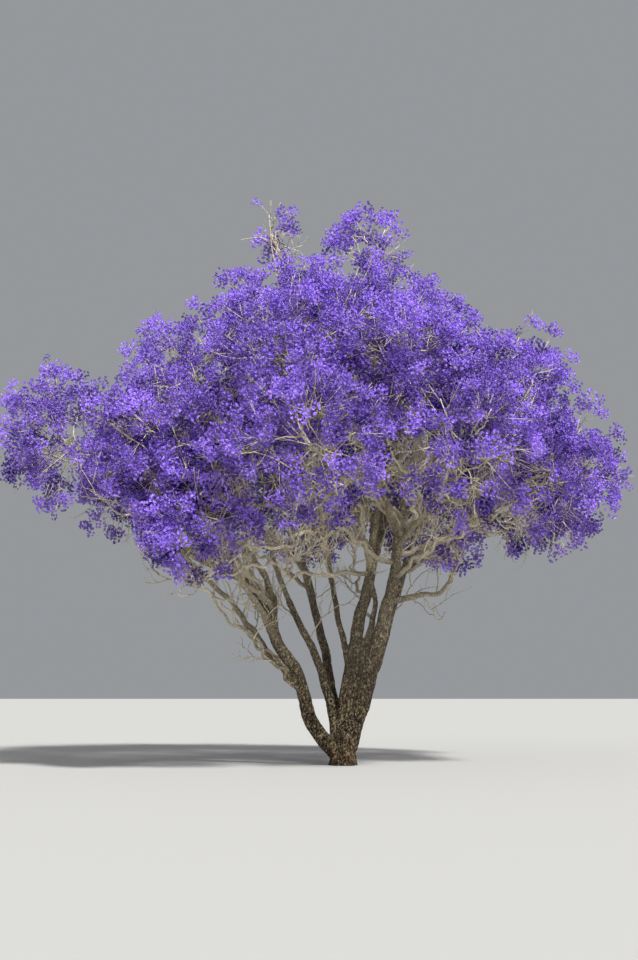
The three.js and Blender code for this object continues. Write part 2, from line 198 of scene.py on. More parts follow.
# How rich some masses are in blossom, and which way it gets denser in them where that isn't upwards
RICHNESS = {
    "top_mass": 0.6, "high_left_mass": 0.6, "left_shelf_mass": 1.35, "low_right_mass": 0.9,
    "skirt_mass_3": 1.2, "skirt_mass_4": 1.2, "skirt_mass_7": 1.4, "skirt_mass_8": 1.5,
}
DENSER_TO = {
    "top_mass": (-1.2, 0, 0.8), "left_shelf_mass": (0.3, -0.7, -0.4), "hanging_mass": (-0.3, -0.3, 0.3),
    "skirt_mass_1": (0.8, 0, 1.3), "skirt_mass_2": (0, 0, 0.6), "skirt_mass_3": (0, 0, -0.5),
    "skirt_mass_4": (0, 0, -0.5), "skirt_mass_7": (0.2, 0, 0.2), "skirt_mass_8": (0, 0, 0.2),
}

# Slender crooked limbs that show below the crown and between the masses
SLENDER = [
    {"foot": 0.04, "tip": 0.016, "line": [
        (-0.86, -0.2, 1.5), (-1.3, -0.42, 1.95), (-2.0, -0.8, 2.75), (-2.7, -1.6, 3.5),
        (-3.1, -2.6, 3.9)]},
    {"foot": 0.042, "tip": 0.02, "line": [
        (-0.98, -0.2, 1.84), (-1.5, -0.35, 2.3), (-2.33, -0.6, 3.0), (-3.4, -0.7, 4.2),
        (-4.1, -0.5, 5.4)]},
    {"foot": 0.06, "tip": 0.018, "line": [
        (1.3, -0.15, 5.3), (0.92, -0.5, 5.57), (0.11, -0.9, 5.34), (-0.3, -1.2, 5.02),
        (-0.8, -1.6, 4.82), (-1.11, -1.9, 4.56), (-1.67, -2.3, 4.39), (-1.92, -2.5, 4.45),
        (-2.37, -2.8, 4.0), (-2.75, -3.0, 3.75)]},
    {"foot": 0.06, "tip": 0.03, "line": [
        (1.17, -0.12, 4.33), (0.63, -0.4, 4.47), (0.39, -0.6, 4.71), (0.11, -0.8, 4.96),
        (-0.22, -1.0, 4.9), (-0.39, -1.1, 4.76), (-0.39, -1.2, 4.51)]},
    {"foot": 0.05, "tip": 0.018, "line": [
        (0.62, 0.15, 4.11), (-0.28, -0.4, 4.06), (-1.13, -0.8, 4.0), (-1.54, -1.3, 4.21),
        (-2.12, -2.0, 4.0), (-2.59, -2.5, 3.81), (-3.05, -2.9, 3.7)]},
    {"foot": 0.05, "tip": 0.02, "line": [
        (-1.52, -0.4, 3.3), (-1.72, -0.8, 3.68), (-1.91, -1.3, 3.96), (-2.17, -1.9, 4.11),
        (-2.4, -2.5, 4.31), (-2.56, -3.0, 4.5)]},
    {"foot": 0.03, "tip": 0.018, "line": [
        (-1.13, -0.8, 4.0), (-1.12, -1.2, 4.15), (-1.05, -1.6, 4.32), (-0.95, -1.9, 4.7)]},
    {"foot": 0.052, "tip": 0.024, "line": [
        (1.09, -0.1, 5.3), (0.94, -0.6, 6.08), (0.86, -0.9, 6.69), (0.46, -1.3, 6.83),
        (0.14, -1.7, 6.6), (-0.12, -2.0, 6.63), (-0.41, -2.3, 6.49), (-0.61, -2.6, 6.21),
        (-0.77, -2.9, 5.99)]},
    {"foot": 0.05, "tip": 0.022, "line": [
        (1.26, -0.15, 5.1), (0.9, -0.6, 5.72), (0.73, -1.0, 6.03), (0.78, -1.3, 6.29),
        (0.98, -1.6, 6.23), (1.21, -1.9, 5.91), (1.53, -2.1, 5.81), (1.8, -2.3, 5.97)]},
    {"foot": 0.042, "tip": 0.018, "line": [
        (1.2, -0.15, 5.2), (0.62, -0.8, 5.61), (0.31, -1.3, 5.71), (0.11, -1.6, 5.56),
        (-0.04, -1.9, 5.7), (0.16, -2.1, 5.78), (0.45, -2.2, 5.66)]},
    {"foot": 0.05, "tip": 0.02, "line": [
        (-1.52, -0.4, 3.5), (-2.18, -1.0, 4.19), (-2.86, -1.8, 4.63), (-3.31, -2.5, 4.76),
        (-3.85, -3.0, 4.95), (-4.3, -3.3, 4.95)]},
    {"foot": 0.052, "tip": 0.022, "line": [
        (1.29, -0.15, 5.3), (1.38, -0.3, 6.3), (1.87, -0.9, 6.58), (2.34, -1.6, 6.56),
        (2.79, -2.2, 6.28), (3.22, -2.8, 6.3)]},
    {"foot": 0.055, "tip": 0.024, "line": [
        (1.24, -0.14, 4.8), (0.9, -0.5, 5.53), (0.73, -0.8, 5.7), (0.78, -1.0, 6.0),
        (1.05, -0.95, 6.24), (1.53, -1.1, 5.94), (1.87, -1.3, 5.71), (2.13, -1.4, 5.66),
        (2.21, -1.5, 5.51)]},
    {"foot": 0.055, "tip": 0.024, "line": [
        (-1.52, -0.4, 3.4), (-1.95, -1.0, 3.75), (-2.4, -1.9, 4.6), (-2.5, -2.8, 5.6)]},
    {"foot": 0.055, "tip": 0.022, "line": [
        (0.66, 0.15, 4.3), (0.3, -0.6, 5.0), (-0.3, -1.5, 5.5), (-0.9, -2.4, 6.3)]},
    {"foot": 0.055, "tip": 0.022, "line": [
        (1.22, -0.14, 4.7), (1.5, -0.9, 5.2), (1.4, -1.9, 5.6), (0.9, -2.9, 6.4)]},
    {"foot": 0.05, "tip": 0.02, "line": [
        (1.14, -0.12, 4.0), (1.9, -0.7, 4.6), (2.8, -1.4, 5.0), (3.9, -2.1, 5.6)]},
    {"foot": 0.055, "tip": 0.02, "line": [
        (1.2, -0.12, 4.5), (1.9, -0.3, 4.7), (2.7, -0.5, 5.2), (3.5, -0.5, 5.3), (4.3, -0.7, 5.7)]},
    {"foot": 0.055, "tip": 0.022, "line": [
        (0.6, 0.15, 4.2), (0.35, -0.9, 5.3), (0.3, -1.9, 6.2), (-0.29, -2.5, 6.45), (-0.7, -2.6, 6.5)]},
    {"foot": 0.05, "tip": 0.022, "line": [
        (-0.75, 1.5, 3.9), (-1.5, 2.3, 4.5), (-2.3, 3.2, 5.0), (-2.9, 3.6, 5.7)]},
    {"foot": 0.05, "tip": 0.022, "line": [
        (1.4, 1.5, 4.2), (2.1, 2.1, 4.7), (2.6, 3.1, 5.1), (3.4, 3.4, 5.8)]},
    {"foot": 0.05, "tip": 0.022, "line": [
        (0.8, 0.75, 2.7), (0.5, 1.7, 3.7), (0.3, 2.9, 4.6), (0.5, 3.6, 5.4)]},
]

# Scars and knobs on the bark: place, width and height
KNOTS = [
    ((-0.26, -0.02, 1.35), 0.085, 0.045),
    ((1.2, -0.16, 3.8), 0.12, 0.06),
    ((-0.95, -0.3, 2.1), 0.06, 0.022),
    ((0.62, 0.05, 3.9), 0.07, 0.025),
    ((-0.42, 0.78, 2.55), 0.07, 0.025),
    ((0.78, 0.62, 2.2), 0.07, 0.025),
]
# How ragged a scar's edge is, and its hollow and its mark as shares of its height and width
SCAR = {"least": 0.7, "ragged": 0.6, "grain": 0.045, "hollow": 1.2, "hollow_width": 0.42, "mark": 0.62}

# The bark's relief: the sizes of ridges, plates and swells, how much of the depth each takes, and how
# the depth fades towards the ground and with the height
RELIEF = {
    "ridges": (0.05, 0.05, 0.11), "plates": (0.045, 0.045, 0.05), "swells": (0.16, 0.16, 0.3),
    "ridge_depth": 0.8, "sharpness": 1.5, "plate_depth": 0.8, "swell_depth": 1.0, "sunk": 1.3,
    "full_from": 0.1, "least_at_ground": 0.3, "strongest": 1.25, "fades_over": 8, "least_at_top": 0.4,
}

# How pale the bark is: on stems by height, and on limbs by radius, by height and along from the foot.
# The paleness is the share of the twigs' colours, their painted highlight and painted shade
STEM_PALENESS = ((1.0, 6.0), (0.0, 0.4))
THIN_RADII = (0.012, 0.11)
LIMB_HEIGHTS = ((1.6, 3.6), (0.05, 1.0))
PALE_FROM_FOOT = 0.45

# Rings and sides of the tubes, and how much thicker each kind of limb is near its foot
TUBES = {
    "foot": (60, 48), "column": (60, 40), "stem": (110, 36), "bough": (96, 16), "slender": (110, 10),
}
COLLARS = {"stem": 0.12, "bough": 0.35, "slender": 0.5, "length": 1.6}
# Twigs by the thickest and finest radius at their foot, with the sides and rings of their tubes
TWIG_TUBES = ((1.0, 0.016, 6, 10), (0.016, 0.009, 4, 6), (0.009, 0, 3, 4))
# How often the fused trunk's points are smoothed
SMOOTHING = 7
# How limbs waver: the length of a wave, how much of it all stems take, the rates of the four sines, how
# much the second of each pair adds, how they fade out at the ends, and the first limb's seed
WAVES = {"stem": 1.3, "bough": 0.9, "slender": 0.75, "twig": 0.55}
SWAY = {"on_stems": 0.7, "rates": (1, 2.3, 0.83, 1.9), "second": 0.5, "fade": 0.7}
SEEDS = {"bough": 50, "slender": 80}
# Lumps along limbs: their size, the least share of the radius, and how much more it grows to
LUMPS = {"bough": (0.13, 0.89, 0.22), "slender": (0.1, 0.85, 0.3)}
NOISE_SEEDS = {"ridges": 1, "plates": 2, "swells": 3, "bough": 7, "scars": 8, "slender": 9}

# Sprigs, stalks to the tufts and the axes of panicles: the radii along them, and their shape
SPRIG = {"rings": 4, "radii": (0.0105, 0.005), "bend": 0.03, "length": 0.88, "seed": 21}
TUFT_STALK = {"radii": (0.0055, 0.005, 0.004), "sag": 0.02}
AXIS = {"radii": (0.0035, 0.0015), "length": 0.8}

# A panicle of unit length: its rounded outline, and the flowers' places, tilts, mouths and throats
PANICLE = {
    "variants": 4, "lowest": 0.05, "jitter": 0.4, "radius": 0.44, "widest": 0.45, "half_height": 0.62,
    "inward": (0.55, 1.1), "look_up": 1.4, "look_down": 0.25, "scatter": 0.3, "mouth": 0.142,
    "mouths": (0.8, 1.15), "throat": 0.18, "petals": 5, "half_petal": 0.5, "seed": 31,
}
# More of the blossom takes the deeper shades the higher this power is
SHADE_POWER = 1.1

# The barks: how many scales to a metre, how strong the furrows are, how deep the bump is, and from which
# value of the fine noise thin wood is palest. The furrows' darkening is partly painted shade, and thin
# wood's palest colour is the twigs' sunlit one, a painted highlight
BARKS = {
    "trunk_bark": {"scale": 40.0, "contrast": 0.85, "relief": 0.02, "palest": 0.6},
    "bough_bark": {"scale": 48.0, "contrast": 0.7, "relief": 0.01, "palest": 0.6},
    "slender_bark": {"scale": 60.0, "contrast": 0.5, "relief": 0.004, "palest": 0.53},
    "twig_bark": {"scale": 60.0, "contrast": 0.5, "relief": 0.004, "palest": 0.6},
}
# The barks' noises: scale, detail and roughness
NOISES = {
    "push": (14.0, 9.0, 0.72), "fine": (42.0, 5.0, 0.75), "streaks": (26.0, 4.0, 0.7),
    "broad": (4.0, 5.0, 0.65),
}
# How the patterns are squeezed along each axis, and how far the push bends the scales
SQUEEZE = {"scales": (1, 1, 0.6), "streaks": (1, 1, 0.14), "broad": (1, 1, 0.5), "none": (1, 1, 1)}
PUSH = 0.05
# How much of the fine noise is mixed into the scales, and how strong the bump is
FINE_SHARE = 0.62
BUMP = 0.9
# The ramps' stops: where the bark's tones and a scar's rim and hollow lie, and where furrows, streaks,
# broad shading, a scar's edge and the scales' tops lie, with their greys. The furrows' grey is partly
# the cracks' own dark and partly painted shade
TONE_STOPS = (0.39, 0.47, 0.56, 0.64)
SCAR_STOPS = (0.4, 0.6, 0.72)
FURROWS_AND_PAINTED_SHADE = [(0.0, (0.3, 0.28, 0.26)), (0.22, (1, 1, 1))]
STREAKS = [(0.4, (0.28, 0.26, 0.24)), (0.52, (1.15, 1.15, 1.12))]
BROAD = [(0.36, (0.55, 0.52, 0.48)), (0.62, (1.15, 1.15, 1.1))]
SCAR_EDGE = [(0.2, (0, 0, 0)), (0.5, (0.6, 0.6, 0.6)), (0.72, (1, 1, 1))]
TOPS = [(0.0, (0, 0, 0)), (0.2, (1, 1, 1))]
# How high the darker, browner tint near the ground reaches, and over how much of the fine noise thin
# wood turns from the twigs' painted shade to their painted highlight
GROUND_TINT_HEIGHT = 0.7
THIN_RANGE = 0.24

# How much every surface shines, and how rough each kind is
SPECULAR = 0.25
ROUGHNESS = {"bark": 0.88, "blossom": 0.62, "floor": 0.9}

# The stage: the floor, the two lights, the world's soft light, and the photograph's view
FLOOR = {"half_width": 400.0, "height": -0.003}
LIGHTS = [
    {"name": "key", "strength": 5.3, "angle": 7, "turn": (38, 30, 0)},
    {"name": "fill", "strength": 0.6, "angle": 60, "turn": (55, -50, 0)},
]
WORLD = {"colour": (0.86, 0.89, 0.94, 1), "strength": 0.35}
CAMERA = {"lens": 50, "sensor": 36, "far": 1000, "place": (-0.5135, -29.1286, 1.5), "looks_up": 9.12}

# The step of the source's counter, and the primes, the step by seed and the factors of the lattice
COUNTER_STEP = 0x6D2B79F5
PRIMES = (73856093, 19349663, 83492791)
SEED_STEP = 2654435
MIXERS = (1274126177, 668265263)
LOW_32_BITS = 0xFFFFFFFF
LOW_24_BITS = 0xFFFFFF

FULL_TURN = 2 * math.pi
GOLDEN_TURN = math.pi * (3 - math.sqrt(5))
# Where a direction counts as upright, how slow counts as still, the step to take a slope by, and the
# points that a line's length is measured at
NEARLY_UPRIGHT = 0.9
NEARLY_STILL = 1e-9
SLOPE_STEP = 0.0001
LINE_POINTS = 201
# The most triangles in a lot of blossom
MOST_TRIANGLES = 190000


def from_hex(code):
    """The linear colour of a screen colour written as six hexadecimal digits."""
    screen = [int(code[i:i + 2], 16) / 255 for i in (0, 2, 4)]
    return tuple(v / 12.92 if v <= 0.04045 else ((v + 0.055) / 1.055) ** 2.4 for v in screen)


class TreeSizes(bpy.types.PropertyGroup):
    """Sizes of the bark, twigs and blossom."""

    fuse_step: bpy.props.FloatProperty(
        name="Fuse step", description="Mesh step of the fused trunk and stems",
        default=0.0185, min=0.01, unit="LENGTH")
    bark_depth: bpy.props.FloatProperty(
        name="Bark depth", description="Depth of the ridges in the bark of trunk and stems",
        default=0.013, min=0, unit="LENGTH")
    bough_bark_depth: bpy.props.FloatProperty(
        name="Bough bark depth", description="Depth of the ridges in the bark of the boughs",
        default=0.004, min=0, unit="LENGTH")
    crook: bpy.props.FloatProperty(
        name="Crook", description="How far the slender limbs swing to each side",
        default=0.06, min=0, unit="LENGTH")
    waver: bpy.props.FloatProperty(
        name="Waver", description="How far boughs and twigs waver to each side",
        default=0.022, min=0, unit="LENGTH")
    panicle: bpy.props.FloatProperty(
        name="Panicle length", description="Length of a loose spike of flowers",
        default=0.24, min=0.1, unit="LENGTH")
    flowers: bpy.props.IntProperty(
        name="Flowers", description="Flowers on each spike", default=9, min=5)


class TreeColours(bpy.types.PropertyGroup):
    """Colours of the bark, twigs, blossom and stage."""

    bark: bpy.props.FloatVectorProperty(
        name="Bark", description="Main colour of the bark", default=from_hex("6b5b47"), subtype="COLOR")
    bark_dark: bpy.props.FloatVectorProperty(
        name="Bark furrows", description="Colour deep in the bark", default=from_hex("1f1710"),
        subtype="COLOR")
    bark_near_ground: bpy.props.FloatVectorProperty(
        name="Bark near the ground", description="Tint of the bark near the ground",
        default=from_hex("c6b2a2"), subtype="COLOR")
    bark_pale: bpy.props.FloatVectorProperty(
        name="Bark flecks", description="Pale flecks on the bark", default=from_hex("b0a286"),
        subtype="COLOR")
    # The twigs' two colours: a sunlit one as painted highlight and a shaded one as painted shade, mixed
    # by noise on thin wood
    twig: bpy.props.FloatVectorProperty(
        name="Twigs", description="Colour of the sunlit twigs", default=from_hex("efe4ca"),
        subtype="COLOR")
    twig_painted_shade: bpy.props.FloatVectorProperty(
        name="Shaded twigs", description="Darker colour on twigs and boughs", default=from_hex("78694f"),
        subtype="COLOR")
    # The blossom's deepest and palest shades: its violet, widened into painted shade at the deep end and
    # painted highlight at the pale end
    blossom_deep_and_painted_shade: bpy.props.FloatVectorProperty(
        name="Deep blossom", description="Deepest shade of the blossom", default=from_hex("210964"),
        subtype="COLOR")
    blossom_pale_and_painted_highlight: bpy.props.FloatVectorProperty(
        name="Pale blossom", description="Palest shade of the blossom", default=from_hex("a983f4"),
        subtype="COLOR")
    shades: bpy.props.IntProperty(
        name="Shades", description="Number of shades among the spikes of flowers", default=6, min=2)
    floor: bpy.props.FloatVectorProperty(
        name="Floor", description="Colour of the floor", default=from_hex("b9b8b4"), subtype="COLOR")


def unit(vectors):
    """Vectors at length one."""
    return vectors / np.linalg.norm(vectors, axis=-1, keepdims=True)


def dot(a, b):
    """Products of two arrays of vectors, one number for each."""
    return np.sum(np.asarray(a) * b, axis=-1)


def seeded(seed):
    """Numbers from 0 to 1 in the source's fixed order: a 32-bit counter mixed by shifts and products."""
    state = seed & LOW_32_BITS
    while True:
        state = (state + COUNTER_STEP) & LOW_32_BITS
        mixed = ((state ^ (state >> 15)) * (state | 1)) & LOW_32_BITS
        mixed ^= (mixed + ((mixed ^ (mixed >> 7)) * (mixed | 61))) & LOW_32_BITS
        yield (mixed ^ (mixed >> 14)) / (LOW_32_BITS + 1)


def across(direction):
    """Two directions square to each given one."""
    direction = np.asarray(direction, float)
    steep = np.abs(direction[..., 2:]) > NEARLY_UPRIGHT
    guide = np.where(steep, (1.0, 0, 0), (0, 0, 1.0))
    side = unit(np.cross(guide, direction))
    return side, np.cross(direction, side)


def tilted(direction, tilt, spin):
    """Directions turned away from the given ones by a tilt, and spun round them."""
    side, other = across(direction)
    tilt = np.asarray(tilt)[..., None]
    spin = np.asarray(spin)[..., None]
    swung = np.cos(spin) * side + np.sin(spin) * other
    return unit(np.cos(tilt) * direction + np.sin(tilt) * swung)


class Line:
    """A curve, a point for each t from 0 to 1, that can also be read by its share of the length."""

    def __init__(self, at):
        self.at = at
        self.steps = np.linspace(0, 1, LINE_POINTS)
        pieces = np.linalg.norm(np.diff(at(self.steps), axis=0), axis=1)
        self.lengths = np.concatenate([[0], np.cumsum(pieces)])
        self.length = self.lengths[-1]

    def share(self, u):
        """The t at a share of the length."""
        return np.interp(np.asarray(u) * self.length, self.lengths, self.steps)

    def even(self, u):
        """The point at a share of the length."""
        return self.at(self.share(u))

    def way(self, u):
        """The direction at a share of the length, from a small step back to a small step on."""
        t = self.share(u)
        ahead = self.at(np.clip(t + SLOPE_STEP, 0, 1))
        return unit(ahead - self.at(np.clip(t - SLOPE_STEP, 0, 1)))


def smooth_line(points):
    """A Catmull-Rom curve: between two points, a cubic whose slope at each is half the step between
    that point's neighbours, with the end points mirrored outwards."""
    p = np.asarray(points, float)
    p = np.vstack([2 * p[0] - p[1], p, 2 * p[-1] - p[-2]])
    last = len(p) - 4

    def at(t):
        whole = np.asarray(t, float) * (last + 1)
        i = np.clip(np.floor(whole).astype(int), 0, last)
        w = (whole - i)[..., None]
        a, b, c, d = p[i], p[i + 1], p[i + 2], p[i + 3]
        slope_b = (c - a) / 2
        slope_c = (d - b) / 2
        square = -3 * b + 3 * c - 2 * slope_b - slope_c
        cube = 2 * b - 2 * c + slope_b + slope_c
        return b + slope_b * w + square * w ** 2 + cube * w ** 3

    return Line(at)


def bezier(points):
    """A Bezier curve: each point weighs as many ways of choosing it, times powers of t and 1 - t."""
    p = [np.asarray(q, float) for q in points]
    n = len(p) - 1

    def at(t):
        t = np.asarray(t, float)[..., None]
        return sum(math.comb(n, k) * t ** k * (1 - t) ** (n - k) * p[k] for k in range(n + 1))

    return Line(at)


def wavering(line, amount, wave, seed):
    """The line, swung to both sides by two sines each of its length, which fade out at both ends."""
    phases = np.random.default_rng(seed).uniform(0, FULL_TURN, len(SWAY["rates"]))
    turns = max(1.0, line.length / wave)
    side, other = across(unit(line.at(1.0) - line.at(0.0)))

    def at(t):
        t = np.asarray(t, float)[..., None]
        fade = np.sin(np.pi * np.clip(t, 0, 1)) ** SWAY["fade"]
        rates = zip(SWAY["rates"], phases)
        waves = [np.sin(FULL_TURN * rate * turns * t + phase) for rate, phase in rates]
        swing = waves[0] + SWAY["second"] * waves[1]
        sway = waves[2] + SWAY["second"] * waves[3]
        return line.at(t[..., 0]) + amount * fade * (swing * side + sway * other)

    return Line(at)


def round_the_tree(values, bearing):
    """A value given to the right, back, left and front, at any bearing between them."""
    quarter = int(bearing // 90) % 4
    share = math.cos((bearing / 90 % 1) * math.pi / 2) ** 2
    return values[quarter] * share + values[(quarter + 1) % 4] * (1 - share)


class Mass:
    """A mass of blossom and the space it keeps to: a ball, cut flat where it meets a neighbour's."""

    def __init__(self, name, bearing, reach, height, size, seed):
        angle = math.radians(bearing)
        self.name = name
        self.centre = np.array([reach * math.cos(angle), reach * math.sin(angle), height])
        self.size = size
        self.seed = seed

    def wall_off(self, masses):
        """Puts a wall towards each near neighbour, in the plane where both balls' skins cross."""
        normals = [np.zeros(3)]
        offsets = [1.0]
        for other in masses:
            apart = np.linalg.norm(other.centre - self.centre)
            if other is not self and apart < self.size + other.size:
                between = (apart ** 2 + self.size ** 2 - other.size ** 2) / (2 * apart)
                normals.append((other.centre - self.centre) / apart)
                offsets.append(between - SPACE_MARGIN)
        self.normals = np.array(normals)
        self.offsets = np.array(offsets)

    def contains(self, points):
        """Whether each point lies in the ball and behind every wall."""
        inward = points - self.centre
        in_ball = np.linalg.norm(inward, axis=-1) < self.size
        return in_ball & np.all(inward @ self.normals.T < self.offsets, axis=-1)

    def room_along(self, points, ways):
        """How far it is from each point, its own way, to the ball's skin or the nearest wall."""
        inward = points - self.centre
        middle = dot(inward, ways)
        reach = np.sqrt(np.maximum(middle ** 2 - dot(inward, inward) + self.size ** 2, 0)) - middle
        speed = ways @ self.normals.T
        gap = self.offsets - inward @ self.normals.T
        to_wall = np.where(speed > NEARLY_STILL, gap / np.maximum(speed, NEARLY_STILL), np.inf)
        return np.minimum(reach, to_wall.min(axis=-1))


def all_masses():
    """Every mass, in the source's order, walled off from its neighbours."""
    masses = []
    for ring in RINGS:
        for k in range(ring["count"]):
            name = f"{ring['name']}_mass_{k + 1}"
            bearing = (ring["bearing"] + 360 * k / ring["count"]) % 360
            reach = round_the_tree(ring["reach"], bearing)
            height = round_the_tree(ring["height"], bearing)
            masses.append(Mass(name, bearing, reach, height, ring["size"], len(masses) + 1))
    for lobe in LOBES:
        name = f"{lobe['name']}_mass"
        masses.append(Mass(name, lobe["bearing"], lobe["reach"], lobe["height"], lobe["size"],
                           len(masses) + 1))
    for mass in masses:
        mass.wall_off(masses)
    return masses


class Limb:
    """A tapering limb: a line, its radius at foot and tip, and the way that its foot is sunk along."""

    def __init__(self, line, foot, tip):
        self.line = line
        self.foot = foot
        self.tip = tip
        self.rooted_along = line.way(0.0)
        self.forks = []

    def radius(self, along):
        """The radius at a share of the length."""
        return self.foot + (self.tip - self.foot) * along


def limb_of(values):
    """The limb that a row of values gives."""
    return Limb(smooth_line(values["line"]), values["foot"], values["tip"])


def fork_for(mass, stems):
    """The place on a stem that lies handiest for a mass: near it, well below it, and not yet crowded."""
    best = None
    for stem in stems:
        for k in range(BOUGH["forks"]):
            along = min(BOUGH["first_fork"] + k * BOUGH["fork_step"], 1)
            point = stem.line.even(along)
            sideways = math.hypot(mass.centre[0] - point[0], mass.centre[1] - point[1])
            too_high = max(0, point[2] + BOUGH["climb"] * sideways - mass.centre[2])
            crowd = sum(abs(fork - along) < BOUGH["near_fork"] for fork in stem.forks)
            cost = np.linalg.norm(point - mass.centre) + BOUGH["too_high"] * too_high
            cost += BOUGH["crowding"] * crowd
            if best is None or cost < best[0]:
                best = (cost, stem, along, point)
    best[1].forks.append(best[2])
    return best[1:]


def bough_for(mass, stems):
    """A bough leaves its stem partly along the stem's own way, swings a little, and ends in its mass."""
    random = seeded(BOUGH["first_seed"] + mass.seed)
    stem, along, point = fork_for(mass, stems)
    approach = unit(mass.centre - point)
    room = mass.room_along(mass.centre, -approach)
    end = mass.centre - approach * min(BOUGH["entry"] * mass.size, BOUGH["of_room"] * room)
    length = np.linalg.norm(end - point)
    own = stem.line.way(along)
    leave = unit(own + (approach - own) * BOUGH["own_way"])
    course = bezier([point, point + leave * length / 3, end - approach * length / 3, end])
    side, other = across(approach)
    phases = [next(random) * FULL_TURN, next(random) * FULL_TURN]
    t = np.linspace(0, 1, BOUGH["steps"] + 1)[:, None]
    swing = BOUGH["wander"] * length * np.sin(np.pi * t) ** 2
    points = course.even(t[:, 0])
    points = points + swing * np.sin(phases[0] + BOUGH["swings"][0] * t) * side
    points = points + swing * np.sin(phases[1] + BOUGH["swings"][1] * t) * other
    foot = min(BOUGH["of_stem"] * stem.radius(along), BOUGH["tip"] + BOUGH["thicken"] * length)
    bough = Limb(smooth_line(points), foot, BOUGH["tip"])
    bough.rooted_along = own
    return bough


@lru_cache(maxsize=None)
def limbs_and_masses():
    """The stems, the boughs with the low limbs, and the masses, each with its own bough."""
    stems = [limb_of(values) for values in STEMS]
    low = {values["carries"]: limb_of(values) for values in LOW_LIMBS}
    masses = all_masses()
    boughs = []
    for mass in masses:
        mass.bough = low[mass.name] if mass.name in low else bough_for(mass, stems)
        boughs.append(mass.bough)
    return stems, boughs, masses


class Growth:
    """What grows on the limbs: twigs as lines with their radius at foot and tip, and sprays."""

    def __init__(self):
        self.twigs = []
        self.sprays = []

    def add_twig(self, line, foot, tip):
        self.twigs.append((line, foot, tip))

    def add_spray(self, foot, way, flat, length, mass):
        self.sprays.append((foot, way, flat, length, mass))


def spray_corners(foot, way, flat, length):
    """The six corners of the source's spray: its ends, and its middle to both sides and both faces."""
    side = unit(np.cross(flat, way))
    normal = np.cross(side, way)
    middle = foot + way * SPRAY["widest"] * length
    wide = side * SPRAY["width"] * length
    thick = normal * SPRAY["thickness"] * length
    tip = foot + way * length
    return np.array([foot, tip, middle + wide, middle - wide, middle + thick, middle - thick])


def fit_spray(growth, foot, way, flat, longest, shortest, mass):
    """Adds the longest spray that keeps to the mass's space, if even a short one does."""
    length = min(longest, SPRAY["of_room"] * float(mass.room_along(foot, way)))
    while length > shortest * mass.size:
        if np.all(mass.contains(spray_corners(foot, way, flat, length))):
            growth.add_spray(foot, way, flat, length, mass)
            return
        length *= SPRAY["shorten"]


def grow_twig(growth, mass, start, leave, direction, reach, spin, draws, shortest):
    """A twig that leaves its foot one way and bends to end in the direction given from the mass's
    centre, with one spray at its tip and the others fanned round a fork."""
    end = mass.centre + direction * reach
    if not mass.contains(end):
        return
    far = np.linalg.norm(end - start)
    bent = end - unit(direction + np.array([0, 0, TWIG["rise"]])) * far * TWIG["bow"]
    line = bezier([start, start + leave * far * TWIG["bow"], bent, end])
    growth.add_twig(line, TWIG["foot"] * TWIG["slim"], TWIG["tip"])
    for k, (shortened, twist) in enumerate(draws):
        foot = start + (end - start) * (SPRAY["tip_foot"] if k == 0 else SPRAY["fan_foot"])
        tilt = SPRAY["tip_tilt"] if k == 0 else SPRAY["fan_tilt"]
        way = tilted(direction, tilt, spin + k * FULL_TURN / (SPRAY["per_twig"] - 1))
        flat = tilted(way, math.pi / 2, twist * FULL_TURN)
        longest = (1 - SPRAY["uneven"] * shortened) * SPRAY["longest"] * mass.size
        fit_spray(growth, foot, way, flat, longest, shortest, mass)


def grow_mass(growth, mass):
    """The source's twigs and sprays from the same draws, and finer ones between them."""
    random = seeded(mass.seed)
    entry = mass.bough.line.way(1.0)
    root = mass.bough.line.even(1.0)
    hub = mass.centre + entry * TWIG["hub"] * mass.size
    bend = root + entry * np.linalg.norm(hub - root) / 2
    stem = bezier([root, bend, hub])
    growth.add_twig(stem, BOUGH["tip"], TWIG["foot"] * TWIG["slim"])
    outward = unit(mass.centre - np.array(CROWN_HEART))
    count = int(mass.size / TWIG["spacing"] + 0.5)
    turn = next(random) * FULL_TURN
    for i in range(count):
        spin = next(random) * FULL_TURN
        draws = [(next(random), next(random)) for _ in range(SPRAY["per_twig"])]
        tilt = math.acos(1 - TWIG["spread"] * (i + 0.5) / count)
        direction = tilted(outward, tilt, turn + i * GOLDEN_TURN)
        room = float(mass.room_along(mass.centre, direction))
        reach = min(TWIG["reach"] * mass.size, TWIG["of_room"] * room)
        onward = (direction @ entry + 1) / 2
        start = stem.at(TWIG["lowest"] + (TWIG["highest"] - TWIG["lowest"]) * onward)
        grow_twig(growth, mass, start, entry, direction, reach, spin, draws, SPRAY["shortest"])
    random = np.random.default_rng(FILL["seed"] + mass.seed)
    count = int(mass.size / FILL["spacing"] + 0.5)
    turn = random.uniform(0, FULL_TURN)
    for i in range(count):
        tilt = math.acos(max(-1, 1 - FILL["spread"] * (i + 0.5) / count))
        direction = tilted(outward, tilt, turn + i * GOLDEN_TURN)
        room = float(mass.room_along(mass.centre, direction))
        reach = min(random.uniform(*FILL["reach"]) * mass.size, FILL["of_room"] * room)
        share = random.uniform(*FILL["from_bough"])
        draws = random.uniform(0, 1, (SPRAY["per_twig"], 2))
        leave = tilted(mass.bough.line.way(share), FILL["tilt"], random.uniform(0, FULL_TURN))
        grow_twig(growth, mass, mass.bough.line.even(share), leave, direction, reach,
                  random.uniform(0, FULL_TURN), draws, FILL["shortest"])


